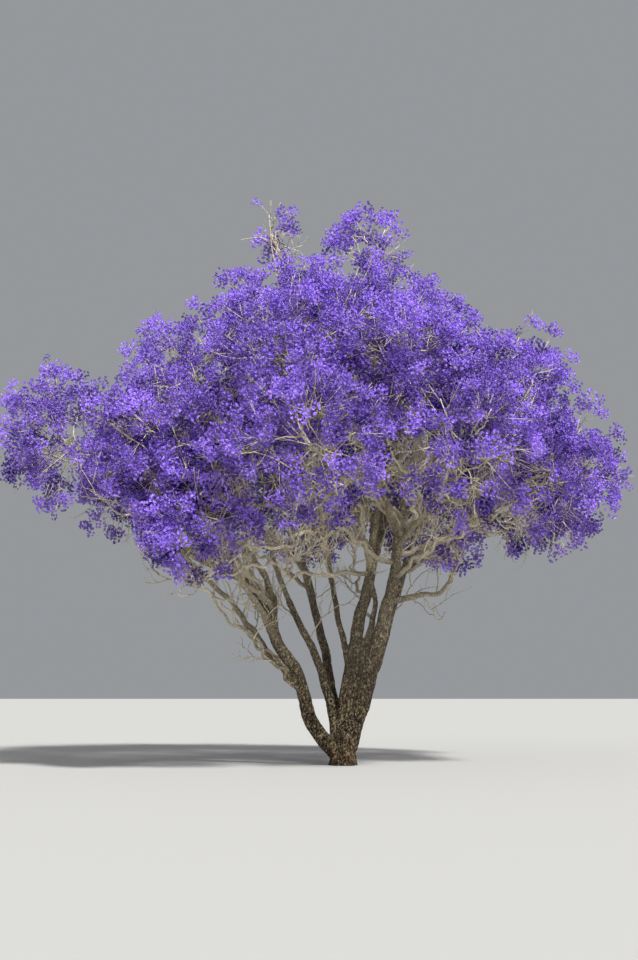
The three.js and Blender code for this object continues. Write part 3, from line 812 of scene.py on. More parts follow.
def ramify(growth, foot, way, length, thickness, level, masses, random):
    """A branch that bends upwards, with others from it turned a golden turn from one to the next, down
    to a spray where its end lies in the space of a mass. Elsewhere it stays bare, and none is made that
    would stray out of the crown's side."""
    low_corner, high_corner = np.array(CAD_BOX)
    scatter = random.normal(0, SIDE["scatter"], 3)
    end = foot + unit(way + np.array([0, 0, SIDE["rise"]]) + scatter) * length
    end = np.clip(end, low_corner + SIDE["margin"], high_corner - SIDE["margin"])
    bent = end + random.normal(0, SIDE["bend"] * length, 3) - way * length * SIDE["bow"][1]
    line = bezier([foot, foot + way * length * SIDE["bow"][0], bent, end])
    stray = min(np.linalg.norm(end - mass.centre) - mass.size for mass in masses)
    if stray > SIDE["stray"] and math.hypot(end[0], end[1]) > SIDE["bare_within"]:
        return
    growth.add_twig(line, thickness, thickness * SIDE["thin"])
    if level == 0:
        home = next((mass for mass in masses if mass.contains(end)), None)
        if home is not None:
            flat = tilted(line.way(1.0), math.pi / 2, random.uniform(0, FULL_TURN))
            shortest = FILL["shortest"] * SIDE["shortest_spray"]
            fit_spray(growth, end, line.way(1.0), flat, SIDE["spray"], shortest, home)
        return
    turn = random.uniform(0, FULL_TURN)
    for k in range(SIDE["children"]):
        share = 1 - SIDE["child_step"] * k
        child = tilted(line.way(share), SIDE["child_tilt"][min(k, 1)], turn + k * GOLDEN_TURN)
        shorter = length * SIDE["shrink"] * random.uniform(*SIDE["uneven"])
        thinner = thickness * SIDE["thin"]
        ramify(growth, line.even(share), child, shorter, thinner, level - 1, masses, random)


def grow_branches(growth, limb, kind, masses, seed):
    """Branches along a limb, turned a golden turn from one to the next."""
    random = np.random.default_rng(SIDE["seed"] + seed)
    turn = random.uniform(0, FULL_TURN)
    for k, share in enumerate(BRANCHED[kind]["shares"]):
        tilt = SIDE["end_tilt"] if share == 1 else SIDE["tilt"]
        way = tilted(limb.line.way(share), tilt, turn + k * GOLDEN_TURN)
        length = random.uniform(*BRANCHED[kind]["lengths"])
        ramify(growth, limb.line.even(share), way, length, SIDE["foot"], SIDE["levels"], masses, random)


@lru_cache(maxsize=None)
def growth_on_limbs():
    """Everything that grows on the limbs, worked out once for twigs and blossom."""
    stems, boughs, masses = limbs_and_masses()
    growth = Growth()
    for mass in masses:
        grow_mass(growth, mass)
    kinds = {"bough": boughs, "slender": slender_limbs(), "stem": stems}
    limbs = [(kind, limb) for kind, lot in kinds.items() for limb in lot]
    for seed, (kind, limb) in enumerate(limbs):
        grow_branches(growth, limb, kind, masses, seed)
    return growth


def slender_limbs():
    """The slender limbs below the crown."""
    return [limb_of(values) for values in SLENDER]


def tubes(paths, radii, sides):
    """Closed tubes along paths given as an array (tubes, rings, 3). A ring's point lies at the path's
    point plus the radius times the cosine and sine of its turn along two directions square to the
    path. Each end is closed by one flat face. Returns the points and the faces."""
    count, rings, _ = paths.shape
    way = unit(np.gradient(paths, axis=1))
    main = unit(paths[:, -1] - paths[:, 0])
    guide = np.eye(3)[np.argmin(np.abs(main), axis=1)][:, None, :]
    normal = unit(guide - dot(guide, way)[..., None] * way)
    other = np.cross(way, normal)
    turn = np.arange(sides) * FULL_TURN / sides
    ring = np.cos(turn)[:, None] * normal[:, :, None, :] + np.sin(turn)[:, None] * other[:, :, None, :]
    points = paths[:, :, None, :] + radii.reshape(count, rings, -1, 1) * ring
    index = np.arange(count * rings * sides).reshape(count, rings, sides)
    ahead = np.roll(index, -1, axis=2)
    walls = np.stack([index[:, :-1], ahead[:, :-1], ahead[:, 1:], index[:, 1:]], axis=-1).reshape(-1, 4)
    caps = np.concatenate([index[:, 0, ::-1], index[:, -1]])
    return points.reshape(-1, 3), [walls, caps]


def joined(shapes):
    """Several pairs of points and faces as one, with like faces put together."""
    points = np.concatenate([shape[0] for shape in shapes])
    faces = {}
    start = 0
    for vertices, groups in shapes:
        for group in groups:
            faces.setdefault(group.shape[1], []).append(group + start)
        start += len(vertices)
    return points, [np.concatenate(groups) for groups in faces.values()]


def thinness(radii):
    """How thin a limb is by its radius, from 0 on the thickest to 1 on the thinnest."""
    return np.interp(radii, THIN_RADII, (1, 0))


def stem_paleness(height):
    """How pale the bark of the stems is at a height."""
    return np.interp(height, *STEM_PALENESS)


def paleness(path, along, radii, sides):
    """How pale a limb's bark is at each point of its tube: as on the stem at its foot, and further along
    it paler where the limb is thin and high up."""
    near_foot = np.exp(-along / PALE_FROM_FOOT)
    own = thinness(radii) * np.interp(path[:, 2], *LIMB_HEIGHTS)
    return np.repeat(own + (stem_paleness(path[0, 2]) - own) * near_foot, sides)


def marked(mesh, name, values):
    """The mesh, with a number at each point kept as its own attribute, which the bark's colours read."""
    attribute = mesh.attributes.new(name, "FLOAT", "POINT")
    attribute.data.foreach_set("value", values.astype(np.float32))
    return mesh


def mesh_of(name, points, faces, smooth):
    """A mesh from an array of points and arrays of faces with three, four or more corners."""
    mesh = bpy.data.meshes.new(name)
    corners = np.concatenate([group.ravel() for group in faces]).astype(np.int32)
    counts = np.concatenate([np.full(len(group), group.shape[1]) for group in faces])
    mesh.vertices.add(len(points))
    mesh.vertices.foreach_set("co", points.astype(np.float32).ravel())
    mesh.loops.add(len(corners))
    mesh.loops.foreach_set("vertex_index", corners)
    mesh.polygons.add(len(counts))
    mesh.polygons.foreach_set("loop_start", (np.cumsum(counts) - counts).astype(np.int32))
    mesh.polygons.foreach_set("use_smooth", np.full(len(counts), smooth))
    mesh.update(calc_edges=True)
    mesh.validate()
    return mesh


def add_piece(name, mesh, material, nodes):
    """Shows a mesh as a piece that rides on the tree and stands for some of its solids."""
    piece = bpy.data.objects.new(name, mesh)
    bpy.context.scene.collection.objects.link(piece)
    mesh.materials.append(material)
    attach(piece, "root")
    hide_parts(*nodes)


def lattice(cells, seed):
    """A fixed number from 0 to 1 for each whole-numbered place: its coordinates times primes, mixed."""
    x, y, z = np.moveaxis(cells, -1, 0)
    mixed = x * PRIMES[0] ^ y * PRIMES[1] ^ z * PRIMES[2] ^ seed * SEED_STEP
    mixed = (mixed ^ (mixed >> 13)) * MIXERS[0] & LOW_32_BITS
    mixed = (mixed ^ (mixed >> 15)) * MIXERS[1] & LOW_32_BITS
    return ((mixed ^ (mixed >> 16)) & LOW_24_BITS) / LOW_24_BITS


def noise(points, seed):
    """Smooth noise from 0 to 1: the lattice's numbers at the eight corners round a point, blended."""
    base = np.floor(points).astype(np.int64)
    part = points - base
    ease = part * part * (3 - 2 * part)
    total = 0
    for corner in np.ndindex(2, 2, 2):
        weight = np.prod(np.where(corner, ease, 1 - ease), axis=-1)
        total = total + weight * lattice(base + np.array(corner), seed)
    return total


def bark_relief(points, depth):
    """How far the bark stands out: sharpened ridges of folded noise, broken by plates and swells."""
    ridges, plates, swells = (noise(points / RELIEF[kind], NOISE_SEEDS[kind])
                              for kind in ("ridges", "plates", "swells"))
    ridges = 1 - np.abs(2 * ridges - 1)
    stands_out = RELIEF["ridge_depth"] * ridges ** RELIEF["sharpness"] + RELIEF["plate_depth"] * plates
    return depth * (stands_out + RELIEF["swell_depth"] * swells - RELIEF["sunk"])


def knot_relief(points):
    """How far the scars stand out: a bump for each, with a hollow in its middle. And how deep in a scar
    each point lies, from 0 outside to 1 in the middle of its hollow."""
    total = np.zeros(len(points))
    depth = np.zeros(len(points))
    ragged = SCAR["least"] + SCAR["ragged"] * noise(points / SCAR["grain"], NOISE_SEEDS["scars"])
    for place, width, height in KNOTS:
        away = np.linalg.norm(points - np.array(place), axis=1) / width * ragged
        hollow = 1 - SCAR["hollow"] * np.exp(-(away / SCAR["hollow_width"]) ** 2)
        total += height * np.exp(-away ** 2) * hollow
        depth = np.maximum(depth, np.exp(-(away / SCAR["mark"]) ** 2))
    return total, depth


def relief_fade(height):
    """How much of its relief the bark has: little close to the ground, and slowly less further up."""
    near_ground = np.clip(height / RELIEF["full_from"], RELIEF["least_at_ground"], 1)
    return near_ground * np.clip(RELIEF["strongest"] - height / RELIEF["fades_over"],
                                 RELIEF["least_at_top"], 1)


def vertex_normals(mesh):
    """The normals of a mesh's points, as an array."""
    normals = np.empty(len(mesh.vertices) * 3, np.float32)
    mesh.vertex_normals.foreach_get("vector", normals)
    return normals.reshape(-1, 3)


def vertex_places(mesh):
    """The points of a mesh, as an array."""
    places = np.empty(len(mesh.vertices) * 3, np.float32)
    mesh.vertices.foreach_get("co", places)
    return places.reshape(-1, 3).astype(float)


def smoothed(mesh, places, rounds):
    """Each point moved halfway to the mean of its neighbours, some rounds over."""
    edges = np.empty(len(mesh.edges) * 2, np.int32)
    mesh.edges.foreach_get("vertices", edges)
    edges = edges.reshape(-1, 2)
    ends = np.concatenate([edges, edges[:, ::-1]])
    degree = np.bincount(ends[:, 0], minlength=len(places))[:, None]
    for _ in range(rounds):
        mean = [np.bincount(ends[:, 0], places[ends[:, 1], axis], len(places)) for axis in range(3)]
        places = (places + np.stack(mean, axis=1) / degree) / 2
    return places


def collared(limb, u, kind):
    """A limb's radius along it: an even taper, thicker for a short way from its foot."""
    swell = np.exp(-u * limb.line.length / (COLLARS["length"] * limb.foot))
    return limb.radius(u) * (1 + COLLARS[kind] * swell)


def lumpy(path, kind):
    """How thick a lumpy limb is along its path, as a share of its own radius there."""
    size, least, more = LUMPS[kind]
    return least + more * noise(path / size, NOISE_SEEDS[kind])


def foot_tube():
    """The trunk's foot: radius as in the source, with lobes that fade as it rises."""
    line = smooth_line(FOOT["line"])
    rings, sides = TUBES["foot"]
    u = np.linspace(0, 1, rings)
    turn = np.arange(sides) * FULL_TURN / sides
    spread = np.exp(-u * line.length / FOOT["flare_height"])[:, None]
    lobes = FOOT["lobe_depth"] * np.cos(FOOT["lobes"] * turn)[None, :]
    taper = FOOT["radius"] + (FOOT["top"] - FOOT["radius"]) * u[:, None]
    return tubes(line.even(u)[None], (taper + (FOOT["flare"] + lobes) * spread)[None], sides)


def trunk_tubes(waver):
    """The foot, the columns and the stems as closed tubes that run into each other."""
    shapes = [foot_tube()]
    rings, sides = TUBES["column"]
    u = np.linspace(0, 1, rings)
    for column in COLUMNS:
        limb = limb_of(column)
        shapes.append(tubes(limb.line.even(u)[None], limb.radius(u)[None], sides))
    rings, sides = TUBES["stem"]
    u = np.linspace(0, 1, rings)
    for seed, stem in enumerate([*limbs_and_masses()[0], limb_of(INNER_STEM)]):
        line = wavering(stem.line, waver * SWAY["on_stems"], WAVES["stem"], seed)
        shapes.append(tubes(line.even(u)[None], collared(stem, u, "stem")[None], sides))
    return joined(shapes)


def fused(name, points, faces, step):
    """Closed shapes that run into each other as one skin, on a grid of the given step."""
    raw = bpy.data.objects.new("raw", mesh_of("raw", points, faces, True))
    bpy.context.scene.collection.objects.link(raw)
    fuse = raw.modifiers.new("Fuse", "REMESH")
    fuse.mode = "VOXEL"
    fuse.voxel_size = step
    mesh = bpy.data.meshes.new_from_object(raw.evaluated_get(bpy.context.evaluated_depsgraph_get()))
    bpy.data.objects.remove(raw)
    mesh.name = name
    return mesh


def move_points(mesh, places):
    """Moves the points of a mesh to an array of places."""
    mesh.vertices.foreach_set("co", places.astype(np.float32).ravel())
    mesh.update()


def cut_at_ground(mesh):
    """Takes off what lies below the ground and closes the cut with flat faces."""
    shape = bmesh.new()
    shape.from_mesh(mesh)
    everything = shape.verts[:] + shape.edges[:] + shape.faces[:]
    bmesh.ops.bisect_plane(shape, geom=everything, plane_co=(0, 0, 0), plane_no=(0, 0, 1),
                           clear_inner=True)
    bmesh.ops.holes_fill(shape, edges=[edge for edge in shape.edges if edge.is_boundary], sides=0)
    shape.to_mesh(mesh)
    shape.free()


def trunk_mesh(sizes):
    """The foot, the columns and the stems fused on a fine grid, smoothed where they part, moved out
    along their normals by the bark's relief, and cut flat at the ground."""
    mesh = fused("trunk_and_stems", *trunk_tubes(sizes.waver), sizes.fuse_step)
    places = smoothed(mesh, vertex_places(mesh), SMOOTHING)
    move_points(mesh, places)
    knots, scars = knot_relief(places)
    relief = bark_relief(places, sizes.bark_depth) * relief_fade(places[:, 2]) + knots
    places = places + relief[:, None] * vertex_normals(mesh)
    move_points(mesh, places)
    marked(mesh, "scar", scars)
    marked(mesh, "thin", stem_paleness(places[:, 2]))
    cut_at_ground(mesh)
    mesh.shade_smooth()
    return mesh


def bough_mesh(sizes):
    """Boughs and low limbs: wavering tubes, thicker near their feet, with a fine bark's relief. Each
    starts inside its stem, a little below the place where it leaves."""
    rings, sides = TUBES["bough"]
    u = np.linspace(0, 1, rings)
    turn = np.arange(sides) * FULL_TURN / sides
    circle = np.stack([np.cos(turn), np.sin(turn), np.zeros(sides)], axis=-1)
    shapes = []
    thin = []
    for seed, limb in enumerate(limbs_and_masses()[1]):
        path = wavering(limb.line, sizes.waver, WAVES["bough"], SEEDS["bough"] + seed).even(u)
        path = np.concatenate([path[0] - np.outer(SUNK_FOOT["depths"], limb.rooted_along), path])
        radius = collared(limb, u, "bough")
        radius = np.concatenate([radius[0] * np.array(SUNK_FOOT["widths"]), radius])
        along = np.concatenate([np.zeros(len(SUNK_FOOT["depths"])), u * limb.line.length])
        skin = path[:, None] + radius[:, None, None] * circle
        relief = bark_relief(skin.reshape(-1, 3), sizes.bough_bark_depth).reshape(-1, sides)
        rough = radius[:, None] * lumpy(path, "bough")[:, None] + relief
        shapes.append(tubes(path[None], rough[None], sides))
        thin.append(paleness(path, along, radius, sides))
    return marked(mesh_of("boughs", *joined(shapes), True), "thin", np.concatenate(thin))


def spray_frames(growth):
    """The sprays as arrays: foot, way, side, normal, length and the number of their mass."""
    masses = limbs_and_masses()[2]
    number = {mass.name: k for k, mass in enumerate(masses)}
    foot, way, flat, length, mass = zip(*growth.sprays)
    foot, way, flat = np.array(foot), np.array(way), np.array(flat)
    side = unit(np.cross(flat, way))
    home = np.array([number[one.name] for one in mass])
    return foot, way, side, np.cross(side, way), np.array(length), home


def tuft_places(foot, way, side, normal, length, random):
    """Tufts on every spray: the feet of their stalks, their centres, and which of them are there, more
    of them on a longer spray."""
    size = (len(foot), len(TUFT["places"]))
    along, across_spray = np.array(TUFT["places"]).T
    along = along + random.uniform(*TUFT["along"], size)
    aside = across_spray * random.uniform(*TUFT["aside"], size) * random.choice([-1, 1], (size[0], 1))
    lift = random.uniform(*TUFT["lift"], size)
    in_plane = along[..., None] * way[:, None] + aside[..., None] * side[:, None]
    centre = foot[:, None] + length[:, None, None] * (in_plane + lift[..., None] * normal[:, None])
    stalk_foot = length[:, None] * np.maximum(along - TUFT["stalk_from"], TUFT["stalk_least"])
    low = foot[:, None] + stalk_foot[..., None] * way[:, None]
    there = np.arange(size[1]) < np.clip(np.round(length / TUFT["spacing"]), 1, size[1])[:, None]
    return low, centre, there


def flowering_share(centre, from_middle, shell, home):
    """How big a share of the tufts flower: more of them further out in their mass, further up or the
    mass's own denser way, and in patches, and all of it times the mass's richness."""
    masses = limbs_and_masses()[2]
    radius = np.array([mass.size for mass in masses])[home][:, None]
    denser = np.array([DENSER_TO.get(mass.name, (0, 0, 1)) for mass in masses])[home][:, None]
    rich = np.array([RICHNESS.get(mass.name, 1) for mass in masses])[home][:, None]
    higher = dot(from_middle, denser) / radius
    patch = noise(centre / FLOWERING["patch"], TUFT["seed"]) - 0.5
    share = FLOWERING["middle"] + FLOWERING["slope"] * shell + FLOWERING["higher"] * higher
    return np.clip(rich * (share + FLOWERING["patchy"] * patch), FLOWERING["least"], 1)


def room_in_masses(start, ways, home):
    """How much room each panicle has in its own mass, which is none where it starts outside."""
    room = np.zeros(ways.shape[:-1])
    for k, mass in enumerate(limbs_and_masses()[2]):
        here = home == k
        inside = mass.contains(start[here])
        room[here] = np.where(inside, mass.room_along(start[here], ways[here]), 0)
    return room


def panicle_tones_and_painted_light(centre, shell, count, random):
    """The tone of every panicle, from 0 for the deepest to 1 for the palest: paler further up and
    further out as painted light, with painted shade on the crown's low and inner parts, and scattered at
    random by tuft and by panicle."""
    low, high = CAD_BOX[0][2], CAD_BOX[1][2]
    height = (centre[..., 2] - low) / (high - low)
    # Painted light: paler with height and towards the mass's outside, deeper as painted shade low down
    # and inside
    tone = TONE_AND_PAINTED_LIGHT["middle"] + TONE_AND_PAINTED_LIGHT["height"] * (height - 0.5) + TONE_AND_PAINTED_LIGHT["shell"] * shell
    tone = tone + random.normal(0, TONE_AND_PAINTED_LIGHT["tuft_spread"], shell.shape)
    return tone[..., None] + random.normal(0, TONE_AND_PAINTED_LIGHT["panicle_spread"], (*shell.shape, count))


@lru_cache(maxsize=None)
def tufts_and_panicles(panicle):
    """Tufts on every spray, and in each tuft a few panicles that part from its centre. Most tufts
    flower where they face out of the crown, and fewer do deep inside it. Returns the tufts' feet and
    centres, then the panicles' centres, ways, lengths, tones and whether they flower."""
    foot, way, side, normal, length, home = spray_frames(growth_on_limbs())
    masses = limbs_and_masses()[2]
    random = np.random.default_rng(TUFT["seed"])
    low, centre, there = tuft_places(foot, way, side, normal, length, random)
    middle = np.array([mass.centre for mass in masses])[home][:, None]
    from_middle = centre - middle
    outward = unit(middle - np.array(CROWN_HEART))
    shell = dot(from_middle, outward) / np.array([mass.size for mass in masses])[home][:, None]
    share = flowering_share(centre, from_middle, shell, home)
    flowering = random.uniform(0, 1, there.shape) < share
    up = np.array([0, 0, 1])
    main = TUFT["onward"] * way[:, None] + TUFT["outward"] * unit(from_middle) + TUFT["rise"] * up
    count = len(TUFT["tilts"])
    tilts = np.array(TUFT["tilts"]) * random.uniform(*TUFT["tilt"], (*there.shape, count))
    spins = random.uniform(0, FULL_TURN, (*there.shape, 1)) + np.arange(count) * GOLDEN_TURN
    ways = tilted(np.broadcast_to(unit(main)[..., None, :], (*tilts.shape, 3)), tilts, spins)
    start = centre[..., None, :] + TUFT["stand"] * ways
    long = panicle * random.uniform(*TUFT["length"], tilts.shape)
    low_corner, high_corner = np.array(CAD_BOX)
    tips = start + ways * long[..., None]
    in_box = np.all((tips > low_corner) & (tips < high_corner), axis=-1)
    fits = (room_in_masses(start, ways, home) > TUFT["room"] * long) & in_box & there[..., None]
    tone = panicle_tones_and_painted_light(centre, shell, count, random)
    whole = np.broadcast_to(centre[..., None, :], ways.shape)
    flowers = np.broadcast_to(flowering[..., None], fits.shape)
    fits = fits & (flowers | (np.arange(count) < TUFT["bare_stalks"]))
    return low[there], centre[there], whole[fits], ways[fits], long[fits], tone[fits], flowers[fits]


def branch_shapes(sizes):
    """The slender limbs, and the twigs of every mass and branch, as tapering tubes with fewer sides
    where they are finer. Returns them and how pale each point is."""
    growth = growth_on_limbs()
    rings, sides = TUBES["slender"]
    u = np.linspace(0, 1, rings)
    shapes = []
    thin = []
    for seed, limb in enumerate(slender_limbs()):
        path = wavering(limb.line, sizes.crook, WAVES["slender"], SEEDS["slender"] + seed).even(u)
        radius = collared(limb, u, "slender") * lumpy(path, "slender")
        shapes.append(tubes(path[None], radius[None], sides))
        thin.append(paleness(path, u * limb.line.length, radius, sides))
    for thick, fine, sides, rings in TWIG_TUBES:
        lines, foot, tip = zip(*[twig for twig in growth.twigs if fine < twig[1] <= thick])
        u = np.linspace(0, 1, rings)
        paths = [wavering(line, sizes.waver, WAVES["twig"], k).even(u) for k, line in enumerate(lines)]
        paths = np.array(paths)
        foot = np.array(foot)[:, None]
        radius = foot + (np.array(tip)[:, None] - foot) * u
        shapes.append(tubes(paths, radius, sides))
        thin.append(np.repeat(thinness(radius).ravel(), sides))
    return shapes, thin


def fine_tubes(paths, radii):
    """Three-sided tubes, all with the same radii along them."""
    return tubes(paths, np.array(radii)[None].repeat(len(paths), 0), 3)


def sprig_shapes(sizes):
    """The sprays' own sprigs, gently bent, and a stalk from each to the middle of every tuft."""
    foot, way, _, _, length, _ = spray_frames(growth_on_limbs())
    u = np.linspace(0, 1, SPRIG["rings"])
    bend = np.random.default_rng(SPRIG["seed"]).normal(0, SPRIG["bend"], (len(foot), 1, 3))
    course = u[None, :, None] * way[:, None] + bend * np.sin(np.pi * u)[None, :, None]
    sprigs = foot[:, None] + SPRIG["length"] * length[:, None, None] * course
    low, centre, *_ = tufts_and_panicles(sizes.panicle)
    sagging = (low + centre) / 2 - np.array([0, 0, TUFT_STALK["sag"]])
    return joined([fine_tubes(sprigs, np.linspace(*SPRIG["radii"], SPRIG["rings"])),
                   fine_tubes(np.stack([low, sagging, centre], axis=1), TUFT_STALK["radii"])])


def stalk_shapes(sizes):
    """The axis of every panicle, from the middle of its tuft almost to its own tip."""
    _, _, start, ways, long, _, _ = tufts_and_panicles(sizes.panicle)
    reach = TUFT["stand"] + AXIS["length"] * long
    return fine_tubes(np.stack([start, start + ways * reach[:, None]], axis=1), AXIS["radii"])


def panicle_shape(flowers, seed):
    """One panicle of unit length along +Z: flowers at golden turns in a rounded cluster, each a trumpet
    of five petals. A petal is one face from the throat to a straight lip, and the throat lies deep."""
    random = np.random.default_rng(seed)
    upright = np.array([0, 0, 1])
    up = np.linspace(PANICLE["lowest"], 1.0, flowers)
    jitter = PANICLE["jitter"]
    turn = np.arange(flowers) * GOLDEN_TURN + random.uniform(-jitter, jitter, flowers)
    outline = np.sqrt(1 - ((up - PANICLE["widest"]) / PANICLE["half_height"]) ** 2)
    out = PANICLE["radius"] * outline * random.uniform(*PANICLE["inward"], flowers)
    radial = np.stack([np.cos(turn), np.sin(turn), np.zeros(flowers)], axis=1)
    centre = radial * out[:, None] + upright * up[:, None]
    looks_up = up[:, None] ** 2 * PANICLE["look_up"] - PANICLE["look_down"]
    scatter = random.normal(0, PANICLE["scatter"], (flowers, 3))
    facing = unit(radial + upright * looks_up + scatter)
    side, other = across(facing)
    mouth = PANICLE["mouth"] * random.uniform(*PANICLE["mouths"], flowers)[:, None, None]
    count = PANICLE["petals"]
    petals = np.arange(count) * FULL_TURN / count
    lips = np.stack([petals - PANICLE["half_petal"], petals + PANICLE["half_petal"]], axis=1).ravel()
    lip = np.cos(lips)[:, None] * side[:, None] + np.sin(lips)[:, None] * other[:, None]
    rim = centre[:, None] + mouth * lip
    throat = (centre - facing * PANICLE["throat"])[:, None]
    points = np.concatenate([throat, rim], axis=1)
    first = np.arange(flowers)[:, None, None] * points.shape[1]
    petal = np.array([[0, 1 + 2 * k, 2 + 2 * k] for k in range(count)])[None]
    return points.reshape(-1, 3), (first + petal).reshape(-1, 3)


def blossom_shapes(sizes, shades):
    """Panicles of each shade, in lots of fewer triangles than a piece may have."""
    _, _, start, ways, long, tone, flowers = tufts_and_panicles(sizes.panicle)
    base = (start + TUFT["stand"] * ways)[flowers]
    axis, long, tone = ways[flowers], long[flowers], tone[flowers]
    shade = np.clip(np.floor(tone * shades), 0, shades - 1).astype(int)
    random = np.random.default_rng(PANICLE["seed"])
    side, other = across(axis)
    roll = random.uniform(0, FULL_TURN, len(base))[:, None]
    first = np.cos(roll) * side + np.sin(roll) * other
    second = np.cross(axis, first)
    turned = np.stack([first, second, axis], axis=1) * long[:, None, None]
    variants = [panicle_shape(sizes.flowers, seed) for seed in range(PANICLE["variants"])]
    variant = random.integers(0, len(variants), len(base))
    most = MOST_TRIANGLES // len(variants[0][1])
    for k in range(shades):
        members = np.flatnonzero(shade == k)
        for part, taken in enumerate(range(0, len(members), most)):
            lot = members[taken:taken + most]
            shapes = []
            for v, (points, faces) in enumerate(variants):
                chosen = lot[variant[lot] == v]
                placed = base[chosen][:, None] + points[None] @ turned[chosen]
                numbered = np.arange(len(chosen))[:, None, None] * len(points) + faces[None]
                shapes.append((placed.reshape(-1, 3), [numbered.reshape(-1, 3)]))
            yield k, part, joined(shapes)


def new_material(name, roughness):
    """A material and its shader, with one roughness all over."""
    material = bpy.data.materials.new(name)
    material.use_nodes = True
    shader = material.node_tree.nodes["Principled BSDF"]
    shader.inputs["Roughness"].default_value = roughness
    shader.inputs["Specular IOR Level"].default_value = SPECULAR
    return material, shader


def add_node(material, kind, links=None, **settings):
    """A node in a material, with its settings, its sockets' values, and its sockets' links, each given
    as the socket's name or number and the output it is linked to."""
    node = material.node_tree.nodes.new(kind)
    for key, value in settings.items():
        if key in node.inputs:
            node.inputs[key].default_value = value
        else:
            setattr(node, key, value)
    for socket, output in (links or {}).items():
        material.node_tree.links.new(output, node.inputs[socket])
    return node


def stretched_place(material, scale):
    """Object coordinates scaled along each axis."""
    place = add_node(material, "ShaderNodeTexCoord").outputs["Object"]
    return add_node(material, "ShaderNodeMapping", {"Vector": place}, Scale=scale).outputs["Vector"]


def ramp(material, factor, stops):
    """A colour for each value of a factor, blended between stops."""
    node = add_node(material, "ShaderNodeValToRGB", {"Fac": factor})
    while len(node.color_ramp.elements) < len(stops):
        node.color_ramp.elements.new(0.5)
    for element, (position, colour) in zip(node.color_ramp.elements, stops):
        element.position = position
        element.color = (*colour, 1)
    return node.outputs["Color"]


def multiplied(material, colour, by, share=1.0):
    """A colour multiplied by another, in part."""
    mix = add_node(material, "ShaderNodeMix", {"A": colour, "B": by}, data_type="RGBA",
                   blend_type="MULTIPLY", Factor=share)
    return mix.outputs["Result"]


def blended(material, factor, first, second):
    """A colour between two others, by a factor."""
    mix = add_node(material, "ShaderNodeMix", {"Factor": factor, "A": first, "B": second},
                   data_type="RGBA")
    return mix.outputs["Result"]


def noise_at(material, place, kind):
    """The node of one of the barks' noises, read at a place."""
    scale, detail, roughness = NOISES[kind]
    return add_node(material, "ShaderNodeTexNoise", {"Vector": place}, Scale=scale, Detail=detail,
                    Roughness=roughness)


def bent_place(material, scale, amount):
    """Object coordinates scaled along each axis, and pushed about by a soft noise."""
    place = stretched_place(material, scale)
    push = noise_at(material, place, "push").outputs["Color"]
    bend = add_node(material, "ShaderNodeVectorMath", {0: push, 2: place}, operation="MULTIPLY_ADD")
    bend.inputs[1].default_value = (amount, amount, amount)
    return bend.outputs["Vector"]


def scale_colours(material, colours, place, fine, scale):
    """Each cell of a Voronoi pattern takes a tone of its own, mixed with fine noise, and the tone a
    colour from the furrows' to the palest."""
    cells = add_node(material, "ShaderNodeTexVoronoi", {"Vector": place}, Scale=scale, feature="F1")
    apart = add_node(material, "ShaderNodeSeparateColor", {"Color": cells.outputs["Color"]})
    mixed = {"A": apart.outputs["Red"], "B": fine}
    tones = add_node(material, "ShaderNodeMix", mixed, Factor=FINE_SHARE)
    shades = (colours.bark_dark, colours.bark, colours.bark, colours.bark_pale)
    return ramp(material, tones.outputs["Result"], list(zip(TONE_STOPS, shades)))


def scarred(material, colours, colour):
    """The bark's colour with scars in it, each a pale rim round a dark hollow."""
    scar = add_node(material, "ShaderNodeAttribute", attribute_name="scar").outputs["Fac"]
    shades = (colours.bark_pale, colours.bark_pale, colours.bark_dark)
    rings = ramp(material, scar, list(zip(SCAR_STOPS, shades)))
    return blended(material, ramp(material, scar, SCAR_EDGE), colour, rings)


def darkened_near_ground(material, colours, colour):
    """The bark's colour, darker and browner towards the ground, fading out above it."""
    place = stretched_place(material, SQUEEZE["none"])
    height = add_node(material, "ShaderNodeSeparateXYZ", {"Vector": place})
    tint = ramp(material, height.outputs["Z"], [(0.0, colours.bark_near_ground), (GROUND_TINT_HEIGHT, (1, 1, 1))])
    return multiplied(material, colour, tint)


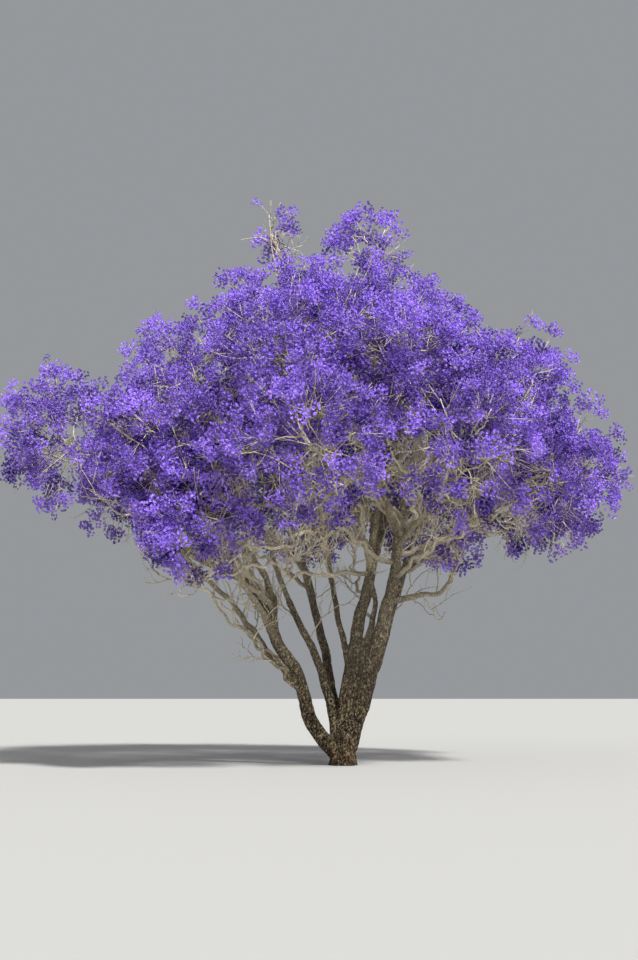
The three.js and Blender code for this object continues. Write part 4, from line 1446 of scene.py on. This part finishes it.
def bark_material(name, colours):
    """Bark in ragged scales that darken towards their edges, partly the cracks' own dark and partly
    painted shade in them. Upright streaks and broad noise darken and lighten it at random, thin wood
    turns paler and plainer towards the twigs' colours, a painted highlight and painted shade mixed by
    noise, scars show, and towards the ground it turns darker and browner. The scales and their edges
    stand out as a bump."""
    bark = BARKS[name]
    contrast = bark["contrast"]
    material, shader = new_material(name, ROUGHNESS["bark"])
    links = material.node_tree.links
    place = bent_place(material, SQUEEZE["scales"], PUSH)
    fine = noise_at(material, place, "fine").outputs["Fac"]
    scales = scale_colours(material, colours, place, fine, bark["scale"])
    edges = add_node(material, "ShaderNodeTexVoronoi", {"Vector": place}, Scale=bark["scale"],
                     feature="DISTANCE_TO_EDGE").outputs["Distance"]
    streaks = noise_at(material, stretched_place(material, SQUEEZE["streaks"]), "streaks")
    broad = noise_at(material, stretched_place(material, SQUEEZE["broad"]), "broad")
    # The scales darken towards their edges: the furrows' own dark, deepened as painted shade in the
    # cracks
    colour = multiplied(material, scales, ramp(material, edges, FURROWS_AND_PAINTED_SHADE), contrast)
    colour = multiplied(material, colour, ramp(material, broad.outputs["Fac"], BROAD))
    colour = multiplied(material, colour, ramp(material, streaks.outputs["Fac"], STREAKS), contrast)
    palest = bark["palest"]
    # Thin wood takes a painted highlight and painted shade: the twigs' sunlit and shaded colours, mixed
    # by fine noise
    smooth = ramp(material, fine, [(palest - THIN_RANGE, colours.twig_painted_shade), (palest, colours.twig)])
    thin = add_node(material, "ShaderNodeAttribute", attribute_name="thin")
    colour = blended(material, thin.outputs["Fac"], colour, smooth)
    colour = darkened_near_ground(material, colours, scarred(material, colours, colour))
    links.new(colour, shader.inputs["Base Color"])
    rough = multiplied(material, ramp(material, edges, TOPS), fine)
    bump = add_node(material, "ShaderNodeBump", {"Height": rough}, Strength=BUMP,
                    Distance=bark["relief"])
    links.new(bump.outputs["Normal"], shader.inputs["Normal"])
    return material


def plain_material(name, colour, roughness):
    """One colour all over, set on the shader itself."""
    material, shader = new_material(name, roughness)
    shader.inputs["Base Color"].default_value = (*colour, 1)
    return material


def nodes_named(word):
    """The solids whose names hold a word."""
    return sorted(name for name in frame["nodes"] if word in name)


def add_floor(scene):
    """A wide flat floor just under the tree's foot, as part of the stage."""
    span = FLOOR["half_width"]
    plan = np.array([(-span, -span), (span, -span), (span, span), (-span, span)])
    corners = np.column_stack([plan, np.full(len(plan), FLOOR["height"])])
    mesh = mesh_of("floor", corners, [np.array([[0, 1, 2, 3]])], False)
    mesh.materials.append(plain_material("floor", scene.jacaranda_colours.floor, ROUGHNESS["floor"]))
    floor = bpy.data.objects.new("floor", mesh)
    scene.collection.objects.link(floor)


def add_light(scene, values):
    """A sun that a row of values gives."""
    light = bpy.data.lights.new(values["name"], "SUN")
    light.energy = values["strength"]
    light.angle = math.radians(values["angle"])
    lamp = bpy.data.objects.new(values["name"], light)
    lamp.rotation_euler = [math.radians(angle) for angle in values["turn"]]
    scene.collection.objects.link(lamp)


def add_world(scene):
    """The soft light from all round."""
    world = bpy.data.worlds.new("studio")
    world.use_nodes = True
    background = world.node_tree.nodes["Background"]
    background.inputs["Color"].default_value = WORLD["colour"]
    background.inputs["Strength"].default_value = WORLD["strength"]
    scene.world = world
    scene.view_settings.view_transform = "Standard"


def add_camera(scene):
    """The camera at the photograph's viewing angle."""
    camera = bpy.data.cameras.new("camera")
    camera.lens = CAMERA["lens"]
    camera.sensor_width = CAMERA["sensor"]
    camera.clip_end = CAMERA["far"]
    view = bpy.data.objects.new("camera", camera)
    view.location = CAMERA["place"]
    view.rotation_euler = (math.radians(90 + CAMERA["looks_up"]), 0, 0)
    scene.collection.objects.link(view)
    scene.camera = view


class JACARANDA_OT_trunk(bpy.types.Operator):
    """Grow the trunk and its stems as one fused mesh with the bark's relief"""

    bl_idname = "jacaranda.trunk"
    bl_label = "Trunk and Stems"

    def execute(self, context):
        material = bark_material("trunk_bark", context.scene.jacaranda_colours)
        mesh = trunk_mesh(context.scene.jacaranda_sizes)
        add_piece("trunk_and_stems", mesh, material, ["trunk", *nodes_named("stem_")])
        return {"FINISHED"}


class JACARANDA_OT_boughs(bpy.types.Operator):
    """Grow the boughs and the low limbs"""

    bl_idname = "jacaranda.boughs"
    bl_label = "Boughs"

    def execute(self, context):
        material = bark_material("bough_bark", context.scene.jacaranda_colours)
        mesh = bough_mesh(context.scene.jacaranda_sizes)
        add_piece("boughs", mesh, material, nodes_named("bough") + nodes_named("low_limb"))
        return {"FINISHED"}


class JACARANDA_OT_twigs(bpy.types.Operator):
    """Grow the slender limbs, and the twigs, sprigs and stalks that carry the blossom"""

    bl_idname = "jacaranda.twigs"
    bl_label = "Twigs"

    def execute(self, context):
        sizes = context.scene.jacaranda_sizes
        colours = context.scene.jacaranda_colours
        pale = bark_material("slender_bark", colours)
        material = bark_material("twig_bark", colours)
        slim = len(slender_limbs())
        shapes, thin = branch_shapes(sizes)
        lots = (("slender_limbs", slice(0, slim), pale), ("branches", slice(slim, None), material))
        for name, lot, bark in lots:
            mesh = marked(mesh_of(name, *joined(shapes[lot]), True), "thin", np.concatenate(thin[lot]))
            add_piece(name, mesh, bark, nodes_named("mass"))
        finest = (("sprigs", sprig_shapes(sizes)), ("stalks", stalk_shapes(sizes)))
        for name, (points, faces) in finest:
            mesh = marked(mesh_of(name, points, faces, True), "thin", np.ones(len(points)))
            add_piece(name, mesh, material, nodes_named("mass"))
        return {"FINISHED"}


class JACARANDA_OT_blossom(bpy.types.Operator):
    """Grow the blossom, in shades from deep to pale by the tone of each spike of flowers, from painted
    shade to painted highlight
    """

    bl_idname = "jacaranda.blossom"
    bl_label = "Blossom"

    def execute(self, context):
        colours = context.scene.jacaranda_colours
        deep = np.array(colours.blossom_deep_and_painted_shade)
        pale = np.array(colours.blossom_pale_and_painted_highlight)
        materials = {}
        for k, part, (points, faces) in blossom_shapes(context.scene.jacaranda_sizes, colours.shades):
            if k not in materials:
                # Each shade lies between the deep end, a painted shade, and the pale end, a painted
                # highlight
                shade = deep + (pale - deep) * (k / (colours.shades - 1)) ** SHADE_POWER
                materials[k] = plain_material(f"blossom_shade_{k + 1}", shade, ROUGHNESS["blossom"])
            name = f"blossom_{k + 1}_{part + 1}"
            mesh = mesh_of(name, points, faces, False)
            add_piece(name, mesh, materials[k], nodes_named("mass"))
        return {"FINISHED"}


class JACARANDA_OT_stage(bpy.types.Operator):
    """Set up the pale floor, the soft light and the camera"""

    bl_idname = "jacaranda.stage"
    bl_label = "Stage"

    def execute(self, context):
        add_floor(context.scene)
        for values in LIGHTS:
            add_light(context.scene, values)
        add_world(context.scene)
        add_camera(context.scene)
        return {"FINISHED"}


class JACARANDA_PT_panel(bpy.types.Panel):
    """Lists the tree's sizes, colours and pieces"""

    bl_idname = "JACARANDA_PT_panel"
    bl_label = "Jacaranda Tree"
    bl_space_type = "VIEW_3D"
    bl_region_type = "UI"
    bl_category = "Jacaranda"

    def draw(self, context):
        for group in (context.scene.jacaranda_sizes, context.scene.jacaranda_colours):
            for name in group.__annotations__:
                self.layout.prop(group, name)
        for operator in OPERATORS:
            self.layout.operator(operator.bl_idname)


OPERATORS = [JACARANDA_OT_trunk, JACARANDA_OT_boughs, JACARANDA_OT_twigs, JACARANDA_OT_blossom,
             JACARANDA_OT_stage]
CLASSES = [TreeSizes, TreeColours, *OPERATORS, JACARANDA_PT_panel]


def register():
    """Registers the classes and the scene's sizes and colours."""
    for cls in CLASSES:
        bpy.utils.register_class(cls)
    bpy.types.Scene.jacaranda_sizes = bpy.props.PointerProperty(type=TreeSizes)
    bpy.types.Scene.jacaranda_colours = bpy.props.PointerProperty(type=TreeColours)


def unregister():
    """Takes the classes and properties away again."""
    del bpy.types.Scene.jacaranda_colours
    del bpy.types.Scene.jacaranda_sizes
    for cls in reversed(CLASSES):
        bpy.utils.unregister_class(cls)


def main():
    """Builds every piece in order."""
    register()
    bpy.ops.jacaranda.trunk()
    bpy.ops.jacaranda.boughs()
    bpy.ops.jacaranda.twigs()
    bpy.ops.jacaranda.blossom()
    bpy.ops.jacaranda.stage()
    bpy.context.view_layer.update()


if __name__ == "__main__":
    main()
